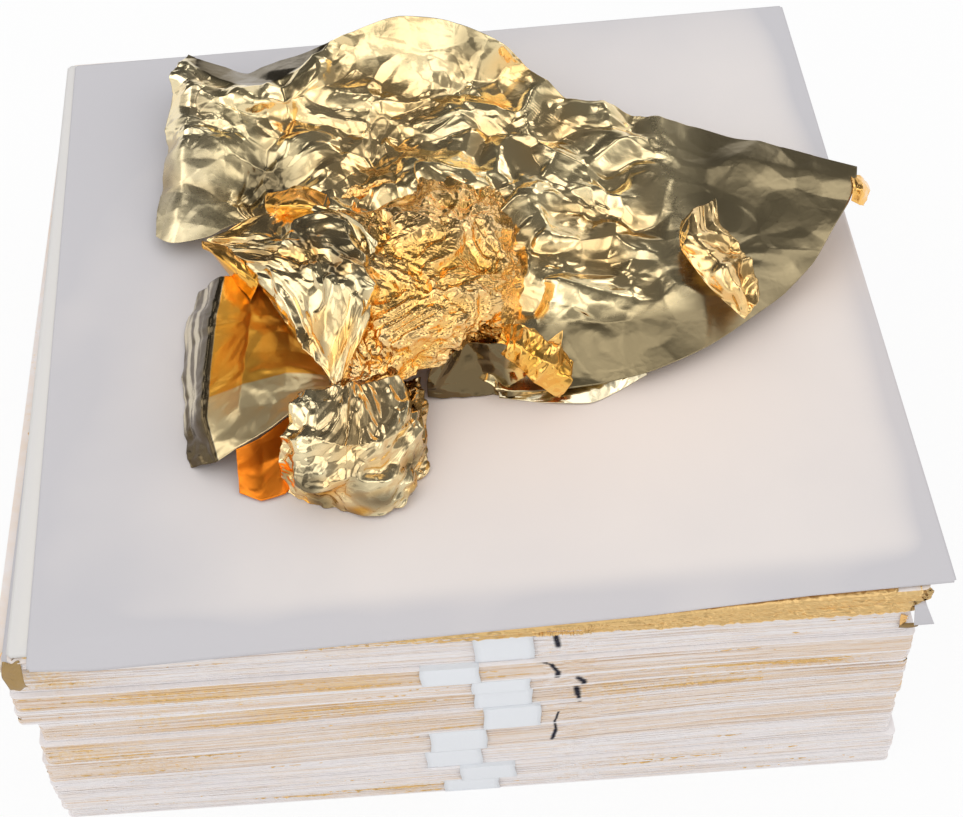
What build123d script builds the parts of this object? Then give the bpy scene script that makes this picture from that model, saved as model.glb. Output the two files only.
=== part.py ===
from build123d import *
import math
import os
import random

# A stack of gold leaf packets, in millimetres: +X to the right, +Y to the back, +Z up.
# Nine packets, each in a paper belly band, carry an opened bundle, an under-sheet,
# a cover sheet and one leaf that was taken out and crumpled.
# A packet's sheets and leaves are drawn as a few quires of paper with a layer of
# leaves between each two of them.

# Driving sizes
paper_side = 144.0
leaf_margin = 2.0
packet_height = 4.82
quires_per_packet = 5
leaf_layer = 0.1
corner_radius = 0.8
paper_stagger = 0.3
leaf_stagger = 0.8
groove_overrun = 2.0

# The belly bands: a strip round the packet from front to back, glued under it
band_width = 9.5
band_thickness = 0.1
band_lap = 18.0

# One entry for each packet, from the bottom packet up
height_shares = (0.75, 0.81, 0.98, 1.24, 1.24, 1.04, 0.64, 0.91, 1.39)
side_shares = (0.993, 0.997, 0.993, 0.993, 0.990, 0.986, 1.0, 1.0, 0.993)
across_shares = (0.011, 0.008, 0.002, 0.001, 0.003, 0.008, 0.0, 0.004, 0.0)
back_shares = (-0.007, -0.006, -0.004, -0.004, -0.006, -0.005, -0.002, -0.002, 0.0)
band_place_shares = (-0.008, 0.012, -0.022, -0.017, 0.042, 0.031, 0.042, -0.016, 0.05)
packet_turns = (0.3, 0.7, 0.8, 1.2, 1.5, 1.2, 0.6, 0.4, 0.3)

# The opened bundle has lost its band: its upper half has slid and turned a little
open_half_quires = 2
open_quire_height = 0.95
open_leaf_layer = 0.15
open_leaf_peek = 0.8
open_lower_turn = 0.3
open_upper_turn = 1.0
open_upper_across = 0.8
open_upper_back = -0.5

# A stray sheet in the middle of it, with its front right corner folded down
stray_thickness = 0.15
stray_across = 1.0
stray_turn = 0.5
stray_flap_run = 9.0
stray_flap_drop = 4.5
stray_flap_spread = 1.8

# A leaf on top of it, with a torn tab hanging at its front left corner
turned_leaf_across = -2.1
turned_leaf_back = -3.2
turned_leaf_turn = 1.0
tab_width = 2.3
tab_drop = 6.8

# The under-sheet and the cover sheet
sheet_thickness = 0.2
under_side_share = 0.985
under_across = 0.3
under_back = -0.6
under_turn = 1.26
cover_across = 3.84
cover_back = -1.09
cover_turn = 1.93

# The front edge of the top sheets hangs down over the bundle, most at the left
droop_depth = 2.4
droop_width = 6.0
droop_overrun = 6.0
droop_along_shares = (-0.62, -0.5, -0.43, -0.15, 0.17, 0.34, 0.62)
droop_depth_shares = (0.3, 0.35, 1.0, 0.8, 0.6, 0.05, 0.02)

# A flake of torn leaf, in the form of an L, stuck on the front of the top packet
flake_thickness = 0.1
flake_height = 3.4
flake_stem = 1.2
flake_foot = 3.0
flake_foot_height = 0.7
flake_top_gap = 0.1
flake_edge_gap = 1.6

# The crumpled leaf: places of its sheet's points from the cover's centre, as shares
# of the paper's side, (across, back, height), in rows from its front edge to its back
crumpled_leaf_wall = 0.4
crumple_rows = 33
crumple_columns = 39
crumple_jitter_share = 0.25
crumple_depth = 2.3
fold_depth = 2.2
fold_across = 6.4
fold_back = 4.3
crumple_seed = 11
leaf_net_shares = (
    ((-0.33, -0.25, 0.003), (-0.274, -0.292, 0.003), (-0.215, -0.319, 0.003), (-0.153, -0.337, 0.003),
     (-0.097, -0.323, 0.003), (-0.056, -0.285, 0.003), (-0.024, -0.208, 0.002), (0.031, -0.194, 0.004),
     (0.118, -0.194, 0.007), (0.208, -0.184, 0.017), (0.281, -0.156, 0.021), (0.344, -0.118, 0.024),
     (0.399, -0.087, 0.028), (0.451, -0.049, 0.045)),
    ((-0.337, -0.219, 0.006), (-0.299, -0.253, 0.035), (-0.229, -0.285, 0.035), (-0.156, -0.306, 0.059),
     (-0.097, -0.295, 0.052), (-0.066, -0.257, 0.035), (-0.028, -0.198, 0.031), (0.035, -0.174, 0.035),
     (0.118, -0.167, 0.035), (0.208, -0.149, 0.031), (0.285, -0.128, 0.035), (0.351, -0.097, 0.038),
     (0.41, -0.073, 0.038), (0.464, -0.037, 0.052)),
    ((-0.337, -0.167, 0.006), (-0.302, -0.201, 0.056), (-0.247, -0.201, 0.031), (-0.156, -0.25, 0.083),
     (-0.097, -0.247, 0.08), (-0.066, -0.205, 0.062), (-0.028, -0.163, 0.059), (0.049, -0.146, 0.062),
     (0.125, -0.128, 0.042), (0.215, -0.122, 0.038), (0.292, -0.104, 0.042), (0.358, -0.08, 0.045),
     (0.42, -0.059, 0.042), (0.474, -0.026, 0.056)),
    ((-0.337, -0.097, 0.006), (-0.299, -0.139, 0.059), (-0.253, -0.118, 0.028), (-0.174, -0.174, 0.076),
     (-0.101, -0.194, 0.073), (-0.059, -0.167, 0.083), (0.003, -0.128, 0.083), (0.059, -0.108, 0.056),
     (0.135, -0.08, 0.045), (0.222, -0.087, 0.042), (0.299, -0.076, 0.045), (0.365, -0.059, 0.049),
     (0.431, -0.049, 0.045), (0.483, -0.015, 0.059)),
    ((-0.337, -0.028, 0.006), (-0.295, -0.073, 0.062), (-0.229, -0.062, 0.056), (-0.16, -0.101, 0.108),
     (-0.094, -0.122, 0.108), (-0.035, -0.122, 0.111), (0.028, -0.097, 0.094), (0.076, -0.056, 0.049),
     (0.142, -0.028, 0.049), (0.229, -0.049, 0.049), (0.306, -0.042, 0.052), (0.375, -0.035, 0.056),
     (0.441, -0.035, 0.049), (0.49, -0.006, 0.062)),
    ((-0.337, 0.035, 0.01), (-0.292, 0.007, 0.056), (-0.229, 0.007, 0.08), (-0.163, -0.021, 0.104),
     (-0.097, -0.042, 0.115), (-0.035, -0.045, 0.122), (0.031, -0.038, 0.111), (0.083, 0.014, 0.056),
     (0.149, 0.028, 0.056), (0.236, -0.007, 0.056), (0.316, -0.007, 0.062), (0.385, -0.007, 0.059),
     (0.451, -0.019, 0.056), (0.495, 0.004, 0.066)),
    ((-0.361, 0.108, 0.01), (-0.309, 0.087, 0.038), (-0.247, 0.087, 0.066), (-0.181, 0.076, 0.087),
     (-0.118, 0.056, 0.101), (-0.052, 0.031, 0.122), (0.021, 0.024, 0.115), (0.083, 0.08, 0.056),
     (0.156, 0.083, 0.056), (0.24, 0.035, 0.056), (0.319, 0.024, 0.062), (0.392, 0.021, 0.062),
     (0.46, 0, 0.059), (0.5, 0.014, 0.069)),
    ((-0.368, 0.181, 0.014), (-0.33, 0.156, 0.038), (-0.274, 0.156, 0.045), (-0.215, 0.167, 0.042),
     (-0.142, 0.146, 0.062), (-0.062, 0.139, 0.069), (0.01, 0.125, 0.069), (0.08, 0.149, 0.056),
     (0.156, 0.128, 0.059), (0.243, 0.076, 0.059), (0.326, 0.056, 0.066), (0.399, 0.049, 0.066),
     (0.465, 0.021, 0.062), (0.504, 0.024, 0.069)),
    ((-0.365, 0.257, 0.024), (-0.326, 0.229, 0.056), (-0.267, 0.233, 0.056), (-0.194, 0.233, 0.062),
     (-0.125, 0.229, 0.059), (-0.056, 0.236, 0.056), (0.014, 0.222, 0.059), (0.08, 0.208, 0.059),
     (0.16, 0.17, 0.059), (0.247, 0.118, 0.062), (0.333, 0.087, 0.069), (0.41, 0.073, 0.069),
     (0.469, 0.042, 0.069), (0.508, 0.035, 0.073)),
    ((-0.354, 0.33, 0.038), (-0.323, 0.306, 0.066), (-0.26, 0.295, 0.066), (-0.188, 0.288, 0.069),
     (-0.125, 0.292, 0.066), (-0.056, 0.299, 0.073), (0.017, 0.285, 0.073), (0.083, 0.253, 0.066),
     (0.16, 0.208, 0.062), (0.25, 0.156, 0.062), (0.34, 0.111, 0.069), (0.419, 0.09, 0.073),
     (0.471, 0.062, 0.073), (0.51, 0.047, 0.076)),
    ((-0.34, 0.389, 0.056), (-0.316, 0.361, 0.073), (-0.253, 0.333, 0.08), (-0.181, 0.33, 0.08),
     (-0.122, 0.34, 0.076), (-0.052, 0.347, 0.083), (0.021, 0.333, 0.083), (0.087, 0.299, 0.076),
     (0.163, 0.243, 0.066), (0.256, 0.198, 0.062), (0.351, 0.142, 0.066), (0.427, 0.108, 0.073),
     (0.472, 0.083, 0.076), (0.512, 0.059, 0.076)),
    ((-0.33, 0.424, 0.059), (-0.306, 0.41, 0.059), (-0.253, 0.406, 0.038), (-0.184, 0.42, 0.045),
     (-0.118, 0.42, 0.087), (-0.049, 0.413, 0.111), (0.024, 0.389, 0.111), (0.09, 0.347, 0.094),
     (0.167, 0.281, 0.062), (0.262, 0.243, 0.056), (0.363, 0.174, 0.062), (0.438, 0.125, 0.069),
     (0.472, 0.099, 0.076), (0.514, 0.073, 0.076)),
)

# Sizes and levels, worked out from the sizes above
leaf_side = paper_side - 2 * leaf_margin
band_space = 3 * band_thickness
packet_count = len(height_shares)
packet_heights = [share * packet_height for share in height_shares]
packet_sides = [share * paper_side for share in side_shares]
packet_levels = [sum(packet_heights[:i]) + i * band_space for i in range(packet_count)]
packet_top = packet_levels[-1] + packet_heights[-1]
open_level = packet_top + band_thickness
open_layer_pitch = open_quire_height + open_leaf_layer
stray_level = open_level + open_half_quires * open_layer_pitch
open_upper_level = stray_level + stray_thickness
turned_leaf_level = open_upper_level + open_half_quires * open_layer_pitch
under_level = turned_leaf_level + leaf_layer
cover_level = under_level + sheet_thickness
cover_top = cover_level + sheet_thickness


def stagger(index, reach):
    """A small sideways place, turned by the golden angle from one layer to the next."""
    golden_turn = math.tau * (1 - 2 / (1 + math.sqrt(5)))
    return Pos(reach * math.cos(index * golden_turn), reach * math.sin(index * golden_turn), 0)


def square_layer(side, height):
    """A square pile of sheets with its four corners slightly rounded."""
    return extrude(RectangleRounded(side, side, corner_radius), amount=height)


# Packets

def packet_place(i):
    """The frame of a packet: its middle, on its lowest sheet, turned as it lies."""
    across = across_shares[i] * paper_side
    back = back_shares[i] * paper_side
    return Pos(across, back, packet_levels[i]) * Rot(0, 0, packet_turns[i])


def quire_height(i):
    return (packet_heights[i] - (quires_per_packet - 1) * leaf_layer) / quires_per_packet


def packet_papers(i):
    pitch = quire_height(i) + leaf_layer
    quires = []
    for q in range(quires_per_packet):
        quire = stagger(i * quires_per_packet + q, paper_stagger) * square_layer(packet_sides[i], quire_height(i))
        quires.append(Pos(0, 0, q * pitch) * quire)
    if i == 0:
        groove = Box(band_width, packet_sides[i] + groove_overrun, 2 * band_thickness)
        quires[0] -= Pos(band_place(i), 0, band_thickness) * groove
    return [packet_place(i) * quire for quire in quires]


def packet_leaves(i):
    pitch = quire_height(i) + leaf_layer
    layers = []
    for q in range(1, quires_per_packet):
        layer = stagger(i + q * packet_count, leaf_stagger) * square_layer(leaf_side, leaf_layer)
        layers.append(packet_place(i) * Pos(0, 0, q * pitch - leaf_layer) * layer)
    return layers


def band_place(i):
    return band_place_shares[i] * paper_side


def packet_band(i):
    """A flat ring round the packet, in its YZ section, with the glued lap under it.
    The bottom packet lies on its band, which is pressed into its lowest quire."""
    sunk = 2 * band_thickness if i == 0 else 0
    depth = packet_sides[i] + 2 * paper_stagger
    height = packet_heights[i] - sunk
    outside = Rectangle(depth + 2 * band_thickness, height + 2 * band_thickness)
    section = Plane.YZ * (outside - Rectangle(depth, height))
    ring = extrude(section, amount=band_width / 2, both=True)
    lap = Pos(0, 0, -height / 2 - 1.5 * band_thickness) * Box(band_width, band_lap, band_thickness)
    middle = sunk + height / 2
    return [packet_place(i) * Pos(band_place(i), 0, middle) * (ring + lap)]


def torn_flake():
    """The L has its stem on the packet's front and its foot out past the corner."""
    i = packet_count - 1
    outline = Polyline(
        (0, 0),
        (flake_foot, 0),
        (flake_foot, flake_foot_height),
        (flake_stem, flake_foot_height),
        (flake_stem, flake_height),
        (0, flake_height),
        close=True,
    )
    shape = extrude(Plane.XZ * make_face(outline), amount=flake_thickness)
    front = packet_sides[i] / 2 + paper_stagger
    rise = packet_heights[i] - flake_top_gap - flake_height
    return [packet_place(i) * Pos(packet_sides[i] / 2 - flake_edge_gap, -front, rise) * shape]


# The way the top sheets hang over the front edge

def droop_section(along, depth, low, high):
    """A section across the sheets at one place along the front. Its edge falls away
    as a parabola: the square of the way past the bend."""
    back_end = paper_side
    bend = droop_width - paper_side / 2
    reach = droop_width + droop_overrun
    fall = depth * (reach / droop_width) ** 2

    def edge(level):
        return (
            Line((back_end, level), (bend, level)),
            Bezier((bend, level), (bend - reach / 2, level), (bend - reach, level - fall)),
        )

    top = edge(high)
    bottom = edge(low)
    ends = (
        Line((back_end, high), (back_end, low)),
        Line((bend - reach, high - fall), (bend - reach, low - fall)),
    )
    frame = Plane(origin=(along, 0, cover_top), x_dir=(0, 1, 0), z_dir=(1, 0, 0))
    return frame * make_face(top + bottom + ends)


def drooped_layer(low, high):
    """All that lies between two levels under the cover's top, bent as the sheets are."""
    sections = []
    for along_share, depth_share in zip(droop_along_shares, droop_depth_shares):
        sections.append(droop_section(along_share * paper_side, depth_share * droop_depth, low, high))
    return cover_place() * loft(sections, ruled=True)


def cover_place():
    return Pos(cover_across, cover_back, 0) * Rot(0, 0, cover_turn)


def sheet_outline(side, place):
    """A tall prism over a sheet's outline, to cut the sheet from a bent layer."""
    return place * Pos(0, 0, cover_top - droop_overrun) * square_layer(side, 2 * droop_overrun)


def cover_sheet():
    return [drooped_layer(-sheet_thickness, 0) & sheet_outline(paper_side, cover_place())]


def under_sheet():
    place = Pos(under_across, under_back, 0) * Rot(0, 0, under_turn)
    outline = sheet_outline(under_side_share * paper_side, place)
    return [drooped_layer(-2 * sheet_thickness, -sheet_thickness) & outline]


def space_over_leaf():
    """What the two sheets and all above them take up."""
    return drooped_layer(-2 * sheet_thickness, droop_overrun)


def space_over_bundle():
    return drooped_layer(-2 * sheet_thickness - leaf_layer, droop_overrun)


# The opened bundle

def open_lower_place():
    return Rot(0, 0, open_lower_turn)


def open_upper_place():
    return Pos(open_upper_across, open_upper_back, 0) * Rot(0, 0, open_upper_turn)


def open_layers(lower_layer, upper_layer):
    """One layer for each quire of the opened bundle, the upper half cut to the droop."""
    layers = []
    for q in range(open_half_quires):
        step = q * open_layer_pitch
        layers.append(open_lower_place() * Pos(0, 0, open_level + step) * lower_layer(q))
        upper = open_upper_place() * Pos(0, 0, open_upper_level + step) * upper_layer(q)
        layers.append(upper - space_over_bundle())
    return layers


def open_papers():
    def quire(q):
        layer = stagger(q, paper_stagger) * square_layer(paper_side, open_quire_height)
        return Pos(0, 0, open_leaf_layer) * layer

    return open_layers(quire, lambda q: quire(q + open_half_quires))


def open_leaves():
    def layer(q):
        forward = (paper_side - leaf_side) / 2 + open_leaf_peek
        return Pos(0, -forward, 0) * square_layer(leaf_side, open_leaf_layer)

    return open_layers(layer, layer)


def stray_sheet():
    """The folded corner is a triangle that hangs from the sheet's right edge."""
    half = paper_side / 2
    inside = half - stray_thickness
    level = stray_thickness / 2
    hinge_front = Vector(inside, corner_radius - half, level)
    hinge_back = Vector(inside, stray_flap_run - half, level)
    tip = Vector(half + stray_flap_spread, corner_radius - half, level - stray_flap_drop)
    triangle_face = Face(Wire.make_polygon([hinge_front, hinge_back, tip]))
    flap = extrude(triangle_face, amount=stray_thickness / 2, both=True)
    place = Pos(stray_across, 0, stray_level) * Rot(0, 0, stray_turn)
    flat = square_layer(paper_side, stray_thickness)
    return [place * (flat + flap)]


def turned_leaf():
    """The leaf follows the droop, and its tab hangs straight down from its corner."""
    place = Pos(turned_leaf_across, turned_leaf_back, 0) * Rot(0, 0, turned_leaf_turn)
    bent = drooped_layer(-2 * sheet_thickness - leaf_layer, -2 * sheet_thickness)
    leaf = bent & sheet_outline(leaf_side, place)
    left = -leaf_side / 2 + corner_radius
    tab = Box(tab_width, leaf_layer, tab_drop, align=(Align.MIN, Align.MIN, Align.MAX))
    tab = place * Pos(left, -leaf_side / 2, turned_leaf_level + leaf_layer) * tab
    return [leaf + (tab - space_over_leaf())]


# The crumpled leaf

def net_point(row, column):
    """A smooth net through the rows and columns of the table, at any place in it.
    Between two of its points each share follows the cubic through their neighbours."""
    def cubic(before, start, end, after, way):
        bend = 2 * before - 5 * start + 4 * end - after
        twist = 3 * (start - end) + after - before
        return start + way / 2 * (end - before + way * (bend + way * twist))

    def along(row_index, axis):
        points = leaf_net_shares[min(max(row_index, 0), len(leaf_net_shares) - 1)]
        first = min(int(column), len(points) - 2)
        picks = [points[min(max(first + k, 0), len(points) - 1)][axis] for k in (-1, 0, 1, 2)]
        return cubic(*picks, column - first)

    first_row = min(int(row), len(leaf_net_shares) - 2)
    return [
        paper_side * cubic(*[along(first_row + k, axis) for k in (-1, 0, 1, 2)], row - first_row)
        for axis in range(3)
    ]


def fold_wave(way):
    """A zigzag from 0 up to 1 and down again, which folds the leaf in straight creases."""
    return 2 * abs(way - math.floor(way + 0.5))


def crumpled_points():
    """The net at the leaf's rows and columns, with zigzag folds in two directions and
    a small random shift at each point. The lowest point touches the cover."""
    chance = random.Random(crumple_seed)
    rows = len(leaf_net_shares) - 1
    columns = len(leaf_net_shares[0]) - 1
    points = []
    for r in range(crumple_rows + 1):
        line = []
        for c in range(crumple_columns + 1):
            back = r / crumple_rows
            across = c / crumple_columns
            inner_row = 0 < r < crumple_rows
            inner_column = 0 < c < crumple_columns
            row_shift = crumple_jitter_share * chance.uniform(-1, 1) if inner_row else 0
            column_shift = crumple_jitter_share * chance.uniform(-1, 1) if inner_column else 0
            x, y, z = net_point(
                (r + row_shift) * rows / crumple_rows,
                (c + column_shift) * columns / crumple_columns,
            )
            folds = fold_wave(fold_across * across + back) * fold_wave(fold_back * back - across)
            z += fold_depth * folds + crumple_depth * chance.uniform(-0.5, 0.5)
            line.append((x, y, z))
        points.append(line)
    lowest = min(z for line in points for x, y, z in line)
    return [[(x, y, z - lowest + crumpled_leaf_wall) for x, y, z in line] for line in points]


def triangle(a, b, c):
    return Face(Wire.make_polygon([a, b, c]))


def crumpled_leaf():
    """A closed shell of flat facets: the creased face, the same face one wall lower,
    and the rim between them."""
    upper = crumpled_points()
    lower = [[(x, y, z - crumpled_leaf_wall) for x, y, z in line] for line in upper]
    faces = []
    for r in range(crumple_rows):
        for c in range(crumple_columns):
            for grid in (upper, lower):
                a, b = grid[r][c], grid[r][c + 1]
                d, e = grid[r + 1][c], grid[r + 1][c + 1]
                if (r + c) % 2:
                    faces += [triangle(a, b, d), triangle(b, e, d)]
                else:
                    faces += [triangle(a, b, e), triangle(a, e, d)]
    rim = [(0, c) for c in range(crumple_columns)]
    rim += [(r, crumple_columns) for r in range(crumple_rows)]
    rim += [(crumple_rows, c) for c in range(crumple_columns, 0, -1)]
    rim += [(r, 0) for r in range(crumple_rows, 0, -1)]
    for (r, c), (r_next, c_next) in zip(rim, rim[1:] + rim[:1]):
        a, b = upper[r][c], upper[r_next][c_next]
        d, e = lower[r][c], lower[r_next][c_next]
        faces += [triangle(a, b, d), triangle(b, e, d)]
    return [cover_place() * Pos(0, 0, cover_top) * Solid(Shell(faces))]


# All nodes, moved so that the origin lies under the middle of the whole stack

nodes = {}
for i in range(packet_count):
    name = f"packet_{i + 1:02d}"
    nodes[f"{name}_papers"] = packet_papers(i)
    nodes[f"{name}_leaves"] = packet_leaves(i)
    nodes[f"{name}_band"] = packet_band(i)
nodes["torn_flake"] = torn_flake()
nodes["open_papers"] = open_papers()
nodes["open_leaves"] = open_leaves()
nodes["stray_sheet"] = stray_sheet()
nodes["turned_leaf"] = turned_leaf()
nodes["under_sheet"] = under_sheet()
nodes["cover_sheet"] = cover_sheet()
nodes["crumpled_leaf"] = crumpled_leaf()

whole = Compound([solid for shapes in nodes.values() for shape in shapes for solid in shape.solids()])
middle = whole.bounding_box().center()
to_origin = Pos(-middle.X, -middle.Y, 0)

os.makedirs("parts", exist_ok=True)
for name, shapes in nodes.items():
    solids = [to_origin * solid for shape in shapes for solid in shape.solids()]
    export_step(solids[0] if len(solids) == 1 else Compound(solids), f"parts/{name}.step")
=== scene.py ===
import math

import bpy
import numpy as np
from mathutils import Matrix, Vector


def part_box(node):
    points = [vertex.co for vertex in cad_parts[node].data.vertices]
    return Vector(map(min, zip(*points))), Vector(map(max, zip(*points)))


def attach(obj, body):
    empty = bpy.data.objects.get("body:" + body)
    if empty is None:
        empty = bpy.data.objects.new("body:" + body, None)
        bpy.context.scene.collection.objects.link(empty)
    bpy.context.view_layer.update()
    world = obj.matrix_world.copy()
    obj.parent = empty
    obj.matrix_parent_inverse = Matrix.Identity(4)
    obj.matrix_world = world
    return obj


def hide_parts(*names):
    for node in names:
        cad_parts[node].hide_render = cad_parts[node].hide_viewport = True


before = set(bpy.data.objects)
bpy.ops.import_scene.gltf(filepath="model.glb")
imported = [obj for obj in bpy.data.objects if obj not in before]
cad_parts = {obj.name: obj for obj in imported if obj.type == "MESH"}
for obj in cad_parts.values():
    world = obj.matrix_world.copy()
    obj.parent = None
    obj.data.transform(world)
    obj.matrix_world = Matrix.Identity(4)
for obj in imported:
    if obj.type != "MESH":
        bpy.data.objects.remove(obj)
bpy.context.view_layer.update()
mm = 0.001
print("frame loaded:", len(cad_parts), "nodes")

# The stack's own frame is in mm, with its nominal middle at x = y = 0 and the table at z = 0.
# The cover sheet is one flat square there, so the middle of its packed box gives the shift to the scene.
cover = {"side": 144.0, "across": 3.84, "back": -1.09, "turn": 1.93, "level": 50.93, "thickness": 0.12}
coverLow, coverHigh = (np.array(corner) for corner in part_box("cover_sheet"))
shift = (coverLow + coverHigh) / 2 / mm - np.array([cover["across"], cover["back"], 0])
shift[2] = 0


# Helpers for shapes
def ramp(value, start, end):
    # 0 at start and before, 1 at end and past it
    return np.clip((value - start) / (end - start), 0, 1)


def bell(a, b, across, back, wide, deep=None):
    # 1 at its middle, and about 0 from 1.5 times its half width on
    return np.exp(-(((a - across) / wide) ** 2 + ((b - back) / (deep or wide)) ** 2) ** 1.5)


def turned(x, y, degrees, across=0.0, back=0.0):
    # x and y turned about the origin, then moved
    angle = math.radians(degrees)
    return (
        across + x * math.cos(angle) - y * math.sin(angle),
        back + x * math.sin(angle) + y * math.cos(angle),
    )


def unitGrid(rows, columns):
    # two grids of numbers from 0 to 1: one rises with the rows, one with the columns
    return np.meshgrid(np.linspace(0, 1, rows), np.linspace(0, 1, columns), indexing="ij")


def gridMesh(name, points, closed=False, capped=False):
    # points[row, column] in mm of the stack's frame; each four neighbours make a face, whose
    # front is up when columns run to +X and rows to +Y. A closed grid joins its last column
    # to its first, and a capped one also gets one flat face at each end row.
    rows, columns = points.shape[:2]
    index = np.arange(rows * columns).reshape(rows, columns)
    start = index if closed else index[:, :-1]
    after = np.roll(index, -1, axis=1) if closed else index[:, 1:]
    quads = np.stack([start[:-1], after[:-1], after[1:], start[1:]], axis=-1).reshape(-1, 4)
    faces = quads.tolist()
    if capped:
        faces += [index[0, ::-1].tolist(), index[-1].tolist()]
    mesh = bpy.data.meshes.new(name)
    mesh.from_pydata(((points + shift) * mm).reshape(-1, 3), [], faces)
    piece = bpy.data.objects.new(name, mesh)
    bpy.context.scene.collection.objects.link(piece)
    if not capped:
        mesh.polygons.foreach_set("use_smooth", np.ones(len(mesh.polygons), dtype=bool))
    return piece


def setAttribute(piece, name, values):
    # one number for each vertex, in a grid's order, or one for all
    attributes = piece.data.attributes
    attribute = attributes.get(name) or attributes.new(name, "FLOAT", "POINT")
    spread = np.broadcast_to(np.ravel(values), len(piece.data.vertices))
    attribute.data.foreach_set("value", spread.astype(np.float32))


def setUv(piece, u, v):
    # a UV map that takes each vertex's place on its own sheet, in units of 100 mm
    layer = piece.data.uv_layers.new(name="sheet")
    corners = np.empty(len(piece.data.loops), dtype=np.int32)
    piece.data.loops.foreach_get("vertex_index", corners)
    flat = np.stack([np.ravel(u), np.ravel(v)], axis=-1)[corners] / 100
    layer.data.foreach_set("uv", flat.astype(np.float32).ravel())


def thicken(piece, thickness, offset=-1.0):
    wall = piece.modifiers.new("thickness", "SOLIDIFY")
    wall.thickness = thickness * mm
    wall.offset = offset
    wall.use_quality_normals = False


def finishPiece(piece, material, body, replaced=()):
    piece.data.materials.append(material)
    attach(piece, body)
    if replaced:
        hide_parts(*replaced)


def waves(a, b, seed, count=7):
    # smooth noise from -1 to 1: a sum of sine waves in random directions, about one wave to a unit
    chance = np.random.default_rng(seed)
    total = np.zeros(np.broadcast(a, b).shape)
    for angle, speed, start in math.tau * chance.uniform(0, 1, (count, 3)):
        speed = math.pi + speed
        total += np.sin(speed * (a * math.cos(angle) + b * math.sin(angle)) + start)
    return total / math.sqrt(count)


def facets(a, b, seed, tilt=0.8, spread=0.7):
    # Crumpled facets, one or so to each unit cell. Every cell has a tilted plane with its own
    # height, bent down by the squared distance from its seed. The highest of them and the lowest
    # of a second set, bent up, are added. So the bends cancel, and flat facets with straight
    # creases are left.
    cycle = 61  # the cells repeat after this many
    table = np.random.default_rng(seed).uniform(-1, 1, (2, cycle, cycle, 5))
    cellA, cellB = np.floor(a).astype(int), np.floor(b).astype(int)
    total = np.zeros(a.shape)
    for side, cells in zip((1, -1), table):
        best = np.full(a.shape, -np.inf)
        for stepA in range(-2, 3):
            for stepB in range(-2, 3):
                cell = cells[(cellA + stepA) % cycle, (cellB + stepB) % cycle]
                da = a - cellA - stepA - 0.5 - 0.42 * cell[..., 0]
                db = b - cellB - stepB - 0.5 - 0.42 * cell[..., 1]
                plane = 0.3 * cell[..., 2] + tilt * (cell[..., 3] * da + cell[..., 4] * db)
                best = np.maximum(best, plane - spread * (da * da + db * db))
        total += side * best
    return total / 2


# The front edge's droop: where it bends and how wide and deep it goes, in mm, and its share of
# that depth at some places along the edge, which are shares of the cover's side.
droop = {
    "bend": -66.0, "width": 6.0, "depth": 2.4,
    "along": (-0.62, -0.5, -0.43, -0.15, 0.17, 0.34, 0.62),
    "share": (0.3, 0.35, 1.0, 0.8, 0.6, 0.05, 0.02),
}


def fallAt(x, y):
    # how far the top sheets hang over the front edge: the depth there, times the
    # square of the way past the bend
    along, back = turned(x - cover["across"], y - cover["back"], -cover["turn"])
    depth = droop["depth"] * np.interp(along / cover["side"], droop["along"], droop["share"])
    return depth * (np.maximum(droop["bend"] - back, 0) / droop["width"]) ** 2


def sway(x, y, z):
    # the layers' gentle wave: up to 0.45 mm, none at the table or at the top of the stack
    rise = np.sin(np.pi * np.clip(z / cover["level"], 0, 1))
    broad, fine = np.sin((x + 0.4 * y) / 21 + 0.6), np.sin((x - y) / 9.5 + z / 14)
    return rise * (0.30 * broad + 0.15 * fine)


# Helpers for materials
def fill(tree, socket, value):
    # value is a socket to link from, or a plain value
    if isinstance(value, bpy.types.NodeSocket):
        tree.links.new(value, socket)
    else:
        socket.default_value = value


def addNode(tree, kind, *values, **settings):
    # values fill the first sockets, and each setting names a property or a socket; every new
    # node stands to the right of the last one
    node = tree.nodes.new("ShaderNode" + kind)
    node.location = (200 * len(tree.nodes), 0)
    for socket, value in zip(node.inputs, values):
        fill(tree, socket, value)
    for name, value in settings.items():
        label = name.replace("_", " ")
        if label in node.inputs:
            fill(tree, node.inputs[label], value)
        else:
            setattr(node, name, value)
    return node


def newGroup(name, inputs, outputs):
    # a shader node group, whose inputs and outputs are all numbers
    tree = bpy.data.node_groups.new(name, "ShaderNodeTree")
    for label, value in inputs.items():
        socket = tree.interface.new_socket(name=label, in_out="INPUT", socket_type="NodeSocketFloat")
        socket.default_value = value
    for label in outputs:
        tree.interface.new_socket(name=label, in_out="OUTPUT", socket_type="NodeSocketFloat")
    return tree, tree.nodes.new("NodeGroupInput").outputs, tree.nodes.new("NodeGroupOutput").inputs


def newMaterial(name, **settings):
    material = bpy.data.materials.new(name)
    material.use_nodes = True
    tree = material.node_tree
    shader = tree.nodes["Principled BSDF"]
    for label, value in settings.items():
        shader.inputs[label.replace("_", " ")].default_value = value
    return material, tree, shader


def useGroup(tree, group, **settings):
    return addNode(tree, "Group", node_tree=group, **settings).outputs


def mixColours(tree, factor, first, second, blend="MIX"):
    # first and second are colours or sockets, and factor is a number or a socket
    node = addNode(tree, "Mix", factor, data_type="RGBA", blend_type=blend)
    fill(tree, node.inputs[6], first)
    fill(tree, node.inputs[7], second)
    return node.outputs[2]


def calculate(tree, operation, *values, clamp=False):
    return addNode(tree, "Math", *values, operation=operation, use_clamp=clamp).outputs[0]


def addNoise(tree, place, scale, detail=2.0, **settings):
    return addNode(tree, "TexNoise", Vector=place, Scale=scale, Detail=detail, **settings).outputs["Fac"]


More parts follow.
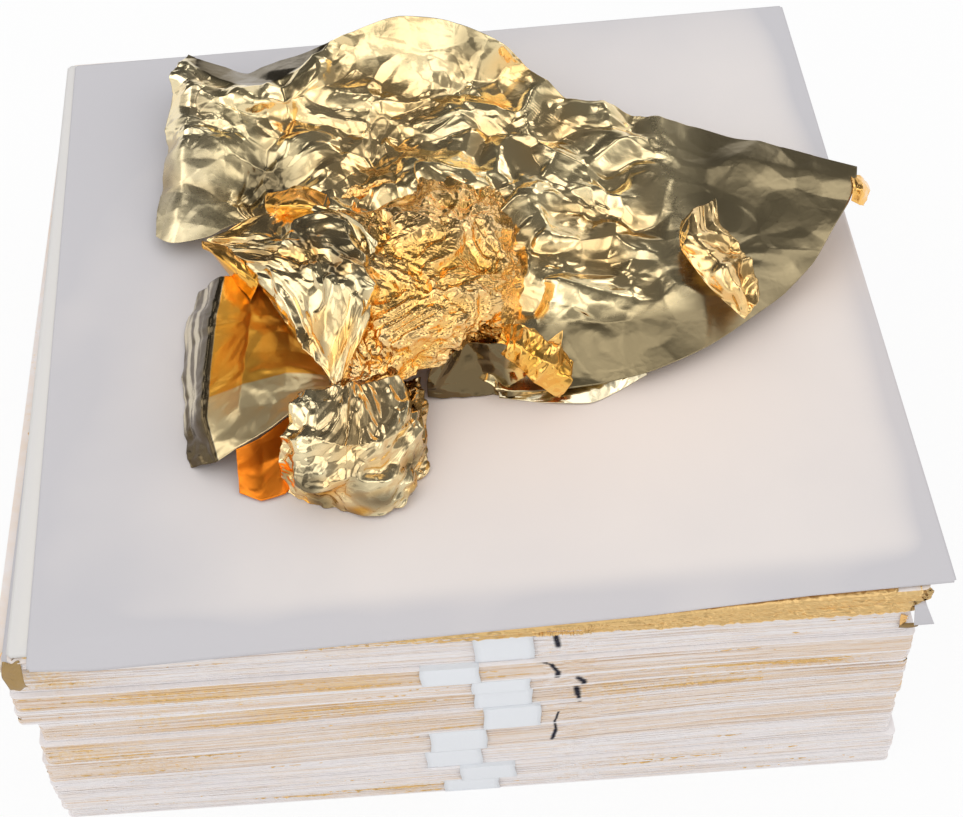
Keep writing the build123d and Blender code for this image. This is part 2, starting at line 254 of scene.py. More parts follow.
def stretchedNoise(tree, place, scale, detail=2.0):
    # 3D noise, with its own scale on each axis
    mapping = addNode(tree, "Mapping", Vector=place, Scale=scale)
    return addNoise(tree, mapping.outputs["Vector"], 1.0, detail)


def objectPlace(tree):
    return addNode(tree, "TexCoord").outputs["Object"]


# Node groups
def makeStreaks():
    # long thin streaks, as the cut edges of a pile of thin sheets have, and a fine fibre noise
    tree, start, end = newGroup("sheetEdgeStreaks", {"Contrast": 1.0}, ("Streaks", "Height"))
    place = objectPlace(tree)
    broad = stretchedNoise(tree, place, (90, 90, 2600))
    fine = stretchedNoise(tree, place, (420, 420, 7500), 3.0)
    both = calculate(tree, "ADD", broad, fine)
    centred = calculate(tree, "SUBTRACT", both, 1.0)
    strong = calculate(tree, "MULTIPLY", centred, start["Contrast"])
    fill(tree, end["Streaks"], calculate(tree, "ADD", strong, 0.5, clamp=True))
    fill(tree, end["Height"], both)
    return tree


def makeDust():
    # scattered specks of broken leaf, in patches
    tree, start, end = newGroup("leafDust", {"Amount": 0.5, "Scale": 1500.0}, ("Mask",))
    place = objectPlace(tree)
    speck = addNoise(tree, place, start["Scale"], 3.0)
    patch = addNoise(tree, place, 70.0)
    both = calculate(tree, "MULTIPLY", speck, patch)
    level = calculate(tree, "MULTIPLY_ADD", start["Amount"], -0.22, 0.42)
    over = calculate(tree, "SUBTRACT", both, level)
    fill(tree, end["Mask"], calculate(tree, "MULTIPLY", over, 7.0, clamp=True))
    return tree


def makeMottle():
    # the soft clouds and fine tooth of thin uncoated paper
    tree, start, end = newGroup("paperMottle", {"Scale": 30.0}, ("Clouds", "Tooth"))
    place = objectPlace(tree)
    fill(tree, end["Clouds"], addNoise(tree, place, start["Scale"], 3.0, Roughness=0.6))
    fill(tree, end["Tooth"], addNoise(tree, place, 2400.0))
    return tree


def makeFoilGrain():
    # the finest crinkles of beaten leaf, on the sheet's own UV map: creases where two cells meet,
    # and a fine ripple, with a mask that varies the shine
    tree, start, end = newGroup("foilGrain", {"Scale": 60.0}, ("Height", "Shine"))
    place = addNode(tree, "UVMap", uv_map="sheet").outputs["UV"]
    bend = addNoise(tree, place, 18.0).node.outputs["Color"]
    bent = mixColours(tree, 0.06, place, bend, "ADD")
    cells = addNode(tree, "TexVoronoi", feature="F1", Vector=bent, Scale=start["Scale"])
    ripple = addNoise(tree, place, 150.0, 3.0)
    small = calculate(tree, "MULTIPLY", ripple, 0.35)
    fill(tree, end["Height"], calculate(tree, "ADD", cells.outputs["Distance"], small))
    fill(tree, end["Shine"], ripple)
    return tree


streaksGroup = makeStreaks()
dustGroup = makeDust()
mottleGroup = makeMottle()
foilGroup = makeFoilGrain()


# Materials
def attributeValue(tree, name):
    return addNode(tree, "Attribute", attribute_name=name).outputs["Fac"]


def bumpFrom(tree, shader, height, strength, distance):
    bump = addNode(tree, "Bump", Strength=strength, Distance=distance, Height=height)
    fill(tree, shader.inputs["Normal"], bump.outputs["Normal"])


edgeColours = {
    "white": (0.93, 0.90, 0.90, 1), "tan": (0.80, 0.62, 0.45, 1), "gap": (0.93, 0.92, 0.92, 1),
    "dust": (0.85, 0.62, 0.33, 1), "ink": (0.03, 0.03, 0.045, 1),
}


def makeEdgePaper():
    # cut edges of tissue: white to tan with the mesh's "tan" values, gold dust where "gild" is
    # high, and pen ink where "ink" is
    material, tree, shader = newMaterial("tissueEdges", Roughness=0.85, Specular_IOR_Level=0.25)
    streaks = useGroup(tree, streaksGroup, Contrast=1.6)
    uneven = calculate(tree, "SUBTRACT", streaks["Streaks"], 0.5)
    spread = calculate(tree, "MULTIPLY", uneven, 0.55)
    tanMask = calculate(tree, "ADD", attributeValue(tree, "tan"), spread, clamp=True)
    paper = mixColours(tree, tanMask, edgeColours["white"], edgeColours["tan"])
    bright = mixColours(tree, streaks["Streaks"], edgeColours["gap"], (1, 1, 1, 1))
    paper = mixColours(tree, 1.0, paper, bright, "MULTIPLY")
    dust = useGroup(tree, dustGroup, Amount=attributeValue(tree, "gild"))["Mask"]
    colour = mixColours(tree, calculate(tree, "MULTIPLY", dust, 0.65), paper, edgeColours["dust"])
    colour = mixColours(tree, attributeValue(tree, "ink"), colour, edgeColours["ink"])
    fill(tree, shader.inputs["Base Color"], colour)
    bumpFrom(tree, shader, streaks["Height"], 0.35, 0.0002)
    return material


def makeSheetPaper(name, pale, edge, warm=(1, 1, 1, 1)):
    # thin paper, seen flat: soft clouds, greyer towards its border, where "rim" is high, which is
    # painted shade where the sheet hangs or lies over air, and warm where "glow" is high, next to
    # the gold, which is painted light reflected from the gold
    material, tree, shader = newMaterial(name, Roughness=0.7, Specular_IOR_Level=0.3, Sheen_Weight=0.1)
    mottle = useGroup(tree, mottleGroup, Scale=26.0)
    cloudy = calculate(tree, "SUBTRACT", mottle["Clouds"], 0.5)
    shade = calculate(tree, "MULTIPLY_ADD", cloudy, 0.5, 0.25)
    mask = calculate(tree, "ADD", attributeValue(tree, "rim"), shade, clamp=True)
    colour = mixColours(tree, mask, pale, edge)
    colour = mixColours(tree, attributeValue(tree, "glow"), colour, warm)
    fill(tree, shader.inputs["Base Color"], colour)
    bumpFrom(tree, shader, mottle["Tooth"], 0.25, 0.00005)
    return material


# tints mixed into the leaf's colour: silver is a paler tone of its own, ember a painted deep orange of light
# bounced in hollows, and the brown tint painted shade and dark reflection
leafTints = {
    "silver": (0.88, 0.82, 0.64, 1), "ember": (1.0, 0.21, 0.008, 1),
    "shadeBrown": (0.13, 0.095, 0.05, 1),
}


def makeLeaf(name, pale, deep, roughness, grain, strength):
    # beaten metal leaf: paler where it lies open, deeper orange where "warm" is high, which is
    # painted inter-reflection in the crumpled leaf's folds and a slightly deeper tone of its own on
    # the packets' leaf edges, and deeper still where "ember" is, painted light bounced in hollows;
    # silvery where "cool" is, painted shade and dark reflection in brown where "shade" is, and
    # with a softer shine where "soft" is
    material, tree, shader = newMaterial(name, Metallic=1.0, Roughness=roughness)
    colour = pale
    for attribute, tint in (("cool", leafTints["silver"]), ("warm", deep),
                            ("ember", leafTints["ember"]), ("shade", leafTints["shadeBrown"])):
        colour = mixColours(tree, attributeValue(tree, attribute), colour, tint)
    fill(tree, shader.inputs["Base Color"], colour)
    foil = useGroup(tree, foilGroup, Scale=grain)
    shine = calculate(tree, "MULTIPLY_ADD", foil["Shine"], 0.13, roughness - 0.05)
    soft = calculate(tree, "MULTIPLY_ADD", attributeValue(tree, "soft"), 0.22, shine)
    fill(tree, shader.inputs["Roughness"], soft)
    bumpFrom(tree, shader, foil["Height"], strength, 0.0003)
    return material


edgePaper = makeEdgePaper()
# the cover's grey-lavender edge colour is painted shade and its peach is painted light reflected from the
# gold
coverPaper = makeSheetPaper(
    "coverPaper", (0.86, 0.80, 0.765, 1), (0.60, 0.585, 0.61, 1), (0.97, 0.80, 0.68, 1))
underPaper = makeSheetPaper("underPaper", (0.82, 0.78, 0.72, 1), (0.74, 0.72, 0.70, 1))
bandPaper = makeSheetPaper("bandPaper", (0.85, 0.875, 0.91, 1), (0.80, 0.82, 0.86, 1))
crumpledGold = makeLeaf("crumpledLeaf", (0.98, 0.80, 0.45, 1), (1.0, 0.50, 0.07, 1), 0.15, 60.0, 0.10)
edgeGold = makeLeaf("leafEdges", (0.98, 0.70, 0.33, 1), (0.80, 0.42, 0.11, 1), 0.46, 90.0, 0.6)
knotGold = makeLeaf("knotLeaf", (1.0, 0.84, 0.52, 1), (1.0, 0.53, 0.08, 1), 0.16, 130.0, 0.40)
print("materials made")


# Packets: papers, ragged leaf edges and belly bands
# One entry for each packet, from the bottom up: its turn, its side, how far its front face is
# tan, and how much gold dust it has. The patches of gold are (packet, middle, half width,
# amount) along the front, in mm.
packet = {
    "turns": (0.3, 0.7, 0.8, 1.2, 1.5, 1.2, 0.6, 0.4, 0.3),
    "sides": (143.0, 143.6, 143.0, 143.0, 142.6, 142.0, 144.0, 144.0, 143.0),
    "tan": (0.06, 0.10, 0.02, 0.42, 0.44, 0.52, 0.44, 0.58, 0.10),
    "gild": (0.0, 0.04, 0.0, 0.18, 0.30, 0.20, 0.28, 0.18, 0.04),
    "patches": (
        (0, -9, 9, 0.9), (1, 40, 30, 0.4), (3, -55, 14, 0.7), (4, -62, 10, 0.8), (4, 0, 22, 0.5),
        (5, -28, 24, 0.9), (5, 30, 30, 0.6), (6, 48, 18, 0.8), (7, -30, 34, 0.9), (8, -64, 9, 1.0),
    ),
    "sheet": 0.26,  # height of one drawn layer
    "reach": 0.12,  # how far the pile goes on into the bands' gaps above and below it
    "cornerRadius": 0.8,
    "pointsPerSide": 120,
    "inkStretch": (12.5, 21.5, 60),  # where the front has more points, and how many
    "rings": (0.12, 0.4, 0.68, 0.95),  # rings on the flat faces, as shares of the outline
    "hollow": 0.12,  # how far the flat faces lie inside the outline, under the bands
}
fringe = {
    "inside": 3.0, "reach": 0.30, "thickness": 0.07, "pointsPerSide": 240,
    "most": 0.29, "underBand": 0.12,  # the farthest that it reaches out, beside the band and under it
}
band = {
    "width": 9.5, "thickness": 0.06, "stand": 0.36, "bulge": 0.05,
    "above": 0.14, "below": 0.16, "belowFirst": 0.08,  # how far it runs outside the papers
    # its middle, as a share of the cover's side
    "places": (-0.008, 0.012, -0.022, -0.017, 0.042, 0.031, 0.042, -0.016, 0.05),
}
penStrokes = (  # short strokes of black ink on the front: x and z of their ends, and half width
    ((15.8, 44.6), (16.2, 41.4), 0.42),
    ((13.7, 38.2), (15.0, 37.4), 0.20),
    ((15.0, 37.4), (16.1, 35.0), 0.32),
    ((16.1, 35.0), (15.9, 33.8), 0.40),
    ((19.3, 32.7), (20.3, 31.6), 0.42),
    ((20.3, 31.6), (20.0, 30.3), 0.36),
    ((19.1, 28.6), (19.3, 26.8), 0.46),
    ((19.3, 26.8), (19.6, 25.0), 0.30),
    ((16.1, 22.4), (15.4, 19.4), 0.17),
    ((15.4, 19.4), (15.6, 16.6), 0.20),
    ((15.6, 16.6), (14.9, 13.8), 0.30),
)


def squareOutline(side, pointsPerSide):
    # a square with rounded corners, from its front left corner against the clock, as places and
    # outward directions; the front gets extra points where the pen strokes are
    radius = packet["cornerRadius"]
    half = side / 2 - radius
    even = np.linspace(-half, half, pointsPerSide)
    front = np.unique(np.concatenate([even, np.linspace(*packet["inkStretch"])]))
    bend = np.linspace(0, math.pi / 2, 6)[1:-1]
    places, outward = [], []
    for quarter, along in enumerate((front, even, even, even)):
        x = np.concatenate([along, half + radius * np.sin(bend)])
        y = np.concatenate([0 * along - side / 2, -half - radius * np.cos(bend)])
        outX = np.concatenate([0 * along, np.sin(bend)])
        outY = np.concatenate([0 * along - 1, -np.cos(bend)])
        places.append(np.stack(turned(x, y, 90 * quarter), axis=-1))
        outward.append(np.stack(turned(outX, outY, 90 * quarter), axis=-1))
    return np.concatenate(places), np.concatenate(outward)


def pileOfSheets(name, centre, turn, side, low, high, seed, ragged=0.08, bend=None):
    # A pile of drawn layers: its outline, with each layer pushed in or out along the outward
    # direction by its own amount plus a slow wave and a fine raggedness along the edge.
    # Each layer has two rows, its lower and its upper edge.
    chance = np.random.default_rng(seed)
    outline, outward = squareOutline(side, packet["pointsPerSide"])
    count = max(3, round((high - low) / packet["sheet"]))
    heights = np.cumsum(np.concatenate([[0], chance.uniform(0.6, 1.4, count)]))
    heights = low + (high - low) * heights / heights[-1]
    way = np.arange(len(outline)) / len(outline) * 4 * side
    layer = np.arange(count)[:, None]
    push = ragged * chance.normal(0, 1, (count, 1))
    push = push + ragged * waves(way[None, :] / 45, layer * 0.9, seed + 1)
    push = push + 0.3 * ragged * chance.normal(0, 1, (count, len(outline)))
    push = np.clip(push, -0.5, 0.26)
    push[[0, -1]] = 0.2
    slide = 0.6 * ragged * chance.normal(0, 1, (count, 1, 2))
    slide[[0, -1]] = 0
    flat = outline + outward * push[..., None] + slide
    rings = np.array(packet["rings"])[:, None]

    def ringed(grid, middle):
        # each layer's two rows, with the flat faces going on inwards in rings
        first, last = middle + rings * (grid[0] - middle), middle + rings[::-1] * (grid[-1] - middle)
        return np.concatenate([first, np.repeat(grid, 2, axis=0), last])

    x, y = (ringed(grid, middle)
            for grid, middle in zip(turned(flat[..., 0], flat[..., 1], turn, *centre[:2]), centre))
    levels = np.concatenate([
        np.full(len(rings), low + packet["hollow"]), np.repeat(heights, 2)[1:-1],
        np.full(len(rings), high - packet["hollow"])])
    z = levels[:, None] + sway(x, y, levels[:, None])
    if bend is not None:
        z = bend(x, y, z)
    piece = gridMesh(name, np.stack([x, y, z], axis=-1), closed=True, capped=True)
    # for each vertex: its row, counted from the first past the rings, and its way round the outline
    return piece, np.repeat(np.arange(len(x)) - len(rings), x.shape[1]), np.tile(way, len(x))


def inkAt(x, z, front):
    # full within each stroke's half width, and softly ended
    ink = np.zeros(x.shape)
    for (x0, z0), (x1, z1), half in penStrokes:
        length = (x1 - x0) ** 2 + (z1 - z0) ** 2
        share = np.clip(((x - x0) * (x1 - x0) + (z - z0) * (z1 - z0)) / length, 0, 1)
        away = np.hypot(x - x0 - share * (x1 - x0), z - z0 - share * (z1 - z0))
        ink = np.maximum(ink, np.clip(1.6 - away / half, 0, 1))
    return ink * front


def packetBox(node):
    low, high = (np.array(corner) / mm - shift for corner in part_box(node))
    return (low + high) / 2, low, high


packetBoxes = [packetBox(f"packet_{i:02d}_papers") for i in range(1, 10)]


def patchesOf(i):
    return [patch[1:] for patch in packet["patches"] if patch[0] == i]


def makePacketPapers(i):
    name = f"packet_{i + 1:02d}"
    centre, low, high = packetBoxes[i]
    bottom = low[2] - (packet["reach"] if i else 0.0)
    piece, row, along = pileOfSheets(
        f"packet{i + 1:02d}Papers", centre, packet["turns"][i], packet["sides"][i],
        bottom, high[2] + packet["reach"], 100 + i)
    rows = row[-1] + 1 - len(packet["rings"])
    points = np.empty(len(piece.data.vertices) * 3)
    piece.data.vertices.foreach_get("co", points)
    x, y, z = (points.reshape(-1, 3) / mm - shift).T
    layer = np.clip(row, 0, rows - 1) // 2
    tone = packet["tan"][i] + 0.22 * waves(along / 70, layer * 0.6, 200 + i)
    tone = tone + 0.12 * waves(along / 14, layer * 1.3, 300 + i)
    edgeLayer = (layer == 0) | (layer == rows // 2 - 1)
    tone = np.where(edgeLayer, 0.0, tone)
    onCap = (row <= 0) | (row >= rows - 1)  # the rows that carry over to the flat faces
    gild = packet["gild"][i] + 0.22 * waves(along / 55, layer * 0.5, 400 + i)
    for middle, half, amount in patchesOf(i):
        near = np.exp(-((x - middle) / half) ** 2) * (y < 0)
        gild = gild + amount * near
        tone = tone + 0.25 * amount * near * ~edgeLayer
    setAttribute(piece, "tan", np.clip(tone, 0, 1))
    setAttribute(piece, "gild", np.clip(gild, 0, 1.2) * ~onCap)
    setAttribute(piece, "ink", inkAt(x, z, (y < -65) & ~onCap))
    finishPiece(piece, edgePaper, name, [f"{name}_papers"])


def edgeStrip(outline, outward, reach, inside, level, uneven, turn, centre, bend=None):
    # a leaf's edge as a narrow grid: an outer row that reaches out, and an inner one in the pile
    rows = []
    for push, rise in ((reach, uneven), (np.full(reach.shape, -inside), 0.0)):
        flat = outline + outward * push[:, None]
        x, y = turned(flat[:, 0], flat[:, 1], turn, *centre[:2])
        z = level + sway(x, y, level) + rise
        rows.append(np.stack([x, y, bend(x, y, z) if bend else z], axis=-1))
    return np.stack(rows)


def makeLeafEdges(i):
    # between the quires, the leaves' torn edges come out here and there as ragged gold strips
    name = f"packet_{i + 1:02d}"
    centre, low, high = packetBoxes[i]
    side = packet["sides"][i]
    outline, outward = squareOutline(side, fringe["pointsPerSide"])
    across, back = outline.T
    way = np.arange(len(outline)) / len(outline) * 4 * side
    underBand = abs(across - cover["side"] * band["places"][i]) < band["width"] / 2 + 0.6
    most = np.where(underBand, fringe["underBand"], fringe["most"])
    chance = np.random.default_rng(500 + i)
    strips = []
    for k in range(1, 5):
        level = low[2] + (high[2] - low[2]) * k / 5
        show = waves(way / 30, np.full(way.shape, k * 3.1), 600 + 10 * i + k) + 1.2 * packet["gild"][i] - 1.5
        for middle, half, amount in patchesOf(i):
            near = np.exp(-((across - middle) / half) ** 2) * (outward[:, 1] < -0.5)
            show = show + 2.2 * amount * near * (k % 2)
        show = show - 2.0 * bell(across, back, 17, -side / 2, 6)  # none where the pen strokes are
        reach = np.clip(show, -1, 1) * fringe["reach"] + 0.12 * chance.normal(0, 1, way.shape)
        reach = np.clip(reach, -fringe["inside"] / 2, most)
        uneven = 0.06 * chance.normal(0, 1, way.shape)
        strips.append(edgeStrip(
            outline, outward, reach, fringe["inside"], level, uneven, packet["turns"][i], centre))
    piece = joinGrids(f"packet{i + 1:02d}LeafEdges", strips)
    setAttribute(piece, "warm", 0.25)
    thicken(piece, fringe["thickness"], 0.0)
    finishPiece(piece, edgeGold, name, [f"{name}_leaves"])


def joinGrids(name, grids):
    # several closed grids in one piece, with one UV map
    pieces = [gridMesh(name, grid, closed=True) for grid in grids]
    for piece, grid in zip(pieces, grids):
        setUv(piece, grid[..., 0] + grid[..., 2], grid[..., 1] - grid[..., 2])
    with bpy.context.temp_override(active_object=pieces[0], selected_editable_objects=pieces):
        bpy.ops.object.join()
    pieces[0].name = name
    return pieces[0]


def makeBand(i):
    # a profile carried round the packet from front to back: a flat loop in its YZ plane, whose
    # front and back runs bulge a little, as wide as the band
    centre, low, high = packetBoxes[i]
    half = packet["sides"][i] / 2 + band["stand"]
    bottom = low[2] - band["below"] if i else low[2] + band["belowFirst"]
    top = high[2] + band["above"]
    steps = 26
    run, rise = np.linspace(-half, half, steps), np.linspace(bottom, top, steps)
    y = np.concatenate([run, np.full(steps, half), -run, np.full(steps, -half)])
    z = np.concatenate([np.full(steps, bottom), rise, np.full(steps, top), rise[::-1]])
    keep = np.hypot(np.diff(y, append=y[0]), np.diff(z, append=z[0])) > 1e-6
    y, z = y[keep], z[keep]
    bulge = band["bulge"] * np.sin(np.linspace(0, 9, len(y)))
    across = np.linspace(-band["width"] / 2, band["width"] / 2, 9) + band["places"][i] * cover["side"]
    x = across[:, None] + 0.12 * np.sin(np.arange(len(y)) / 5 + i)
    y = np.broadcast_to(y + np.sign(y) * bulge * (abs(y) > half - 1), x.shape)
    x, y = turned(x, y, packet["turns"][i], *centre[:2])
    points = np.stack([x, y, z + sway(x, y, z)], axis=-1)
    piece = gridMesh(f"packet{i + 1:02d}Band", points[::-1], closed=True)
    setAttribute(piece, "rim", 0.1)
    setAttribute(piece, "glow", 0.0)
    thicken(piece, band["thickness"], 1.0)
    body = f"band_{i + 1:02d}" if i else "packet_01"
    finishPiece(piece, bandPaper, body, [f"packet_{i + 1:02d}_band"])


for i in range(9):
    makePacketPapers(i)
    makeLeafEdges(i)
    makeBand(i)
print("packets made")


# The opened bundle: its lower half, the stray sheet on it, and its upper half, in mm
bundle = {
    "centres": ((0.0, 0.0), (1.4, -1.0)), "turns": (0.3, 1.0), "sides": (144.0, 142.8),
    "levels": ((45.90, 48.04), (48.26, 50.43)), "stray": 48.08,
    "press": 1.9,  # how far the top is bent down at most
    "leafLevels": (46.3, 46.6, 47.0, 47.45, 47.9, 48.5, 48.85, 49.2, 49.6, 49.95, 50.3),
    "leafInside": 3.5, "leafThickness": 0.14, "peek": 0.9,
}


def pressed(x, y, z):
    # the upper half is bent down at the front with the sheets on top: not at its lowest sheet,
    # and fully at its highest
    return z - ramp(z, bundle["stray"], bundle["levels"][1][1]) * np.minimum(fallAt(x, y), bundle["press"])


def makeBundlePapers():
    for number, name in enumerate(("openPapersLower", "openPapersUpper")):
        piece, row, along = pileOfSheets(
            name, bundle["centres"][number], bundle["turns"][number], bundle["sides"][number],
            *bundle["levels"][number], 700 + number, 0.1, pressed if number else None)
        layer = (row + len(packet["rings"])) // 2
        setAttribute(piece, "tan", np.clip(0.3 + 0.2 * waves(along / 60, layer * 0.7, 710 + number), 0, 1))
        setAttribute(piece, "gild", 0.4)
        setAttribute(piece, "ink", 0.0)
        finishPiece(piece, edgePaper, "open_bundle", ["open_papers"])


def makeBundleLeaves():
    # gold strips at the bundle's front, strong at the right and fading to the left, from the
    # leaves that have slid forward; thin ones at its other sides
    chance = np.random.default_rng(750)
    strips = []
    for k, level in enumerate(bundle["leafLevels"]):
        upper = level > bundle["stray"]
        side = bundle["sides"][upper]
        outline, outward = squareOutline(side, fringe["pointsPerSide"])
        along = outline[:, 0] / (side / 2)
        frontShow = 1.3 * np.clip(along + 0.35 * upper, -0.7, 1) + 0.25
        sideShow = np.where(outward[:, 0] < -0.5, -1.6, -0.6)
        show = np.where(outward[:, 1] < -0.5, frontShow, sideShow)
        noise = waves(np.arange(len(outline)) / 60, np.full(len(outline), k * 2.3), 760 + k)
        reach = bundle["peek"] * np.clip(show + 0.35 * noise, -1.6, 1)
        reach = reach + 0.1 * chance.normal(0, 1, len(outline))
        uneven = np.clip(0.08 * chance.normal(0, 1, len(outline)), -0.12, 0.2)
        strips.append(edgeStrip(
            outline, outward, reach, bundle["leafInside"], level, uneven,
            bundle["turns"][upper], bundle["centres"][upper], pressed if upper else None))
    piece = joinGrids("openBundleLeaves", strips)
    setAttribute(piece, "warm", 0.1)
    thicken(piece, bundle["leafThickness"], 0.0)
    finishPiece(piece, edgeGold, "open_bundle", ["open_leaves"])


makeBundlePapers()
makeBundleLeaves()


# Loose sheets: side, middle, turn, height, thickness and faint wave of each, in mm and degrees
sheets = {
    "coverSheet": (cover["side"], (cover["across"], cover["back"]), cover["turn"], cover["level"],
                   cover["thickness"], 0.03),
    "underSheet": (141.8, (0.3, -0.6), 1.26, cover["level"] - 0.2, 0.12, 0.02),
    "turnedLeaf": (140.0, (-2.1, -3.2), 1.0, cover["level"] - 0.4, 0.07, 0.0),
    "straySheet": (144.0, (1.0, 0.0), 0.5, bundle["stray"], 0.12, 0.0),
}


def laidSheet(name, cells, seed, lift=None):
    # a square sheet as a grid in its own frame, turned and moved, its height that of the pile
    # under it less the droop, plus the wave; lift changes the places for what its corners do
    side, centre, turn, level, thickness, wave = sheets[name]
    share = np.linspace(-0.5, 0.5, cells)
    share = np.sign(share) * 0.5 * (1 - (1 - 2 * abs(share)) ** 1.25)  # closer together near the edges
    ownX, ownY = np.meshgrid(share * side, share * side)
    trim = 0.35 * (abs(ownX) > side / 2 - 0.01) * (abs(ownY) > side / 2 - 0.01)
    ownX, ownY = ownX - np.sign(ownX) * trim, ownY - np.sign(ownY) * trim
    x, y = turned(ownX, ownY, turn, *centre)
    z = level - fallAt(x, y) + wave * waves(ownX / 60, ownY / 60, seed)
    if lift is not None:
        x, y, z = lift(ownX, ownY, x, y, z)
    piece = gridMesh(name, np.stack([x, y, z], axis=-1))
    setUv(piece, ownX, ownY)
    toEdge = side / 2 - np.maximum(abs(ownX), abs(ownY))
    # painted shade: greyer towards the sheet's edges
    setAttribute(piece, "rim", np.exp(-toEdge / 2.6))
    thicken(piece, thickness)
    return piece, ownX, ownY


def makeCover():
    piece, x, y = laidSheet("coverSheet", 120, 41)
    half = cover["side"] / 2
    # painted shade on the cover: a grey band where the right edge lies over air, one along the drooping
    # front, fainter ones at the back and left, and greyer towards the left and back left
    rim = 0.95 * np.exp(-((half - x) / 4.2) ** 2) + 0.75 * np.exp(-((half + y) / 6.5) ** 4)
    rim = rim + 0.45 * np.exp(-(half - y) / 16) + 0.3 * np.exp(-(half + x) / 20)
    rim = rim + 0.5 * ramp(x, -20, -65) + 0.25 * ramp(y, 20, 70) * ramp(x, 0, -40)
    setAttribute(piece, "rim", np.clip(rim * (1 + 0.15 * waves(x / 25, y / 25, 43)), 0, 1))
    # painted light reflected from the gold onto the cover, round the leaf and in front of the right lobe,
    # which also lightens the leaf's shadow there
    near = np.exp(-((x - 14) / 48) ** 2 - ((y + 20) / 34) ** 2)
    setAttribute(piece, "glow", np.clip(0.65 * near + 0.6 * bell(x, y, 56, 4, 20, 16), 0, 1))
    finishPiece(piece, coverPaper, "cover_sheet", ["cover_sheet"])


def makeUnderSheet():
    piece = laidSheet("underSheet", 80, 51)[0]
    setAttribute(piece, "glow", 0.0)
    finishPiece(piece, underPaper, "under_sheet", ["under_sheet"])


def tornSide(ownX, ownY, x, y, z):
    # the turned leaf's left edge and the left end of its front edge are torn away under the
    # sheet above
    pull = ramp(ownX, -62, -70) * (3.2 + 0.5 * waves(ownY / 9, 0 * ownY, 66))
    return x + pull, y + 2.6 * ramp(ownX, -20, -40) * ramp(ownY, -60, -70), z


def makeTurnedLeaf():
    piece = laidSheet("turnedLeaf", 80, 61, tornSide)[0]
    setAttribute(piece, "warm", 0.2)
    finishPiece(piece, edgeGold, "open_bundle", ["turned_leaf"])
    # its torn tab hangs at the front left corner: a strip bent down and curled like a C
    centre, turn, level = sheets["turnedLeaf"][1:4]
    down, along = unitGrid(24, 10)
    ownX = -68.7 + 2.7 * along - 0.5 * np.sin(np.pi * down) * (1 - along)
    ownY = -69.2 - 0.7 * np.sin(np.pi * down) - 0.3 * np.sin(7 * down + 3 * along) - 0.9 * down
    x, y = turned(ownX, ownY, turn, *centre)
    z = level - fallAt(x[:1], y[:1]) + 0.2 - 6.4 * down + 0.25 * np.sin(9 * along)
    tab = gridMesh("turnedLeafTab", np.stack([x, y, z], axis=-1)[::-1])
    setUv(tab, ownX, z)
    setAttribute(tab, "warm", 0.3)
    setAttribute(tab, "shade", 0.6)
    thicken(tab, 0.08)
    finishPiece(tab, edgeGold, "open_bundle")


def withBundle(ownX, ownY, x, y, z):
    # the stray sheet lies in the bundle and waves with it, and so doesn't droop
    return x, y, bundle["stray"] + 0.15 + sway(x, y, bundle["stray"])


def makeStraySheet():
    piece = laidSheet("straySheet", 70, 71, withBundle)[0]
    setAttribute(piece, "glow", 0.0)
    finishPiece(piece, coverPaper, "open_bundle", ["stray_sheet"])
    # its front right corner is folded down over the front edge: it widens on its way down
    centre, turn, level = sheets["straySheet"][1:4]
    down, along = unitGrid(16, 14)
    ownX = 70.0 + 0.6 * down + along * (1.8 + 1.4 * down)
    ownY = -71.6 - 1.75 * ramp(down, 0, 0.15) ** 0.6
    x, y = turned(ownX, ownY, turn, *centre)
    z = level + 0.12 + sway(x, y, level) - 5.6 * down
    corner = gridMesh("straySheetCorner", np.stack([x, y, z], axis=-1)[:, ::-1])
    # painted shade: the folded-down corner is greyed
    setAttribute(corner, "rim", 0.85)
    setAttribute(corner, "glow", 0.0)
    thicken(corner, 0.1)
    finishPiece(corner, coverPaper, "open_bundle")


flake = {"back": 1.6, "out": 0.42, "drop": 5.3, "height": 3.4, "stem": 1.0, "foot": 3.0, "thickness": 0.08}


def makeFlake():
    # a torn L of leaf on the top packet's front right corner: its stem along the edge of the
    # packet, its foot sticking out
    up, along = unitGrid(20, 8)
    width = np.where(up > 0.25, flake["stem"], flake["foot"]) + 0.15 * np.sin(20 * up)
    half = packet["sides"][8] / 2
    ownX = half - flake["back"] + width * along
    ownY = -half - flake["out"] - 0.2 * np.sin(5 * up + 3 * along)
    centre, high = packetBoxes[8][::2]
    x, y = turned(ownX, ownY, packet["turns"][8], *centre[:2])
    rise = flake["height"] * up
    piece = gridMesh("tornFlake", np.stack([x, y, high[2] - flake["drop"] + rise], axis=-1))
    setUv(piece, ownX, rise)
    setAttribute(piece, "warm", 0.5)
    setAttribute(piece, "shade", np.where(up > 0.3, 0.0, 0.75))
    thicken(piece, flake["thickness"])
    finishPiece(piece, edgeGold, "packet_09", ["torn_flake"])


makeCover()
makeUnderSheet()
makeTurnedLeaf()
makeStraySheet()
makeFlake()
print("sheets made")


# The crumpled leaf. In this section a runs across the main sheet and b back and up over it, in
# mm; on the other parts they run along the part's own width and depth, and u and v from 0 to 1.
def frontBand(a, b):
    # the strip along the main sheet's front edge, right of the knot
    edge = np.interp(a, (4, 18, 40, 60), (-8, -10, -8, -3))
    return ramp(edge - b, 0, 4) * ramp(a, 6, 11)


def shadedWedge(a, b):
    # the smooth sliver along the back, between the left corner and the hump, which mainTones
    # paints dark as shade
    line = np.interp(a, (-47, -43, -35, -27, -21, -15), (62, 58, 53.5, 57, 62, 69))
    return ramp(b - line, 0, 1.2) * ramp(a, -48, -46) * ramp(a, -13, -16)


def leftPlate(a, b):
    return ramp(a, -36, -41) * ramp(b, 44, 36)


def rightFrom(a, b, start, end):
    # the right lobe, whose near end leans with the way back
    return ramp(a - 0.2 * (b - 7), start, end)


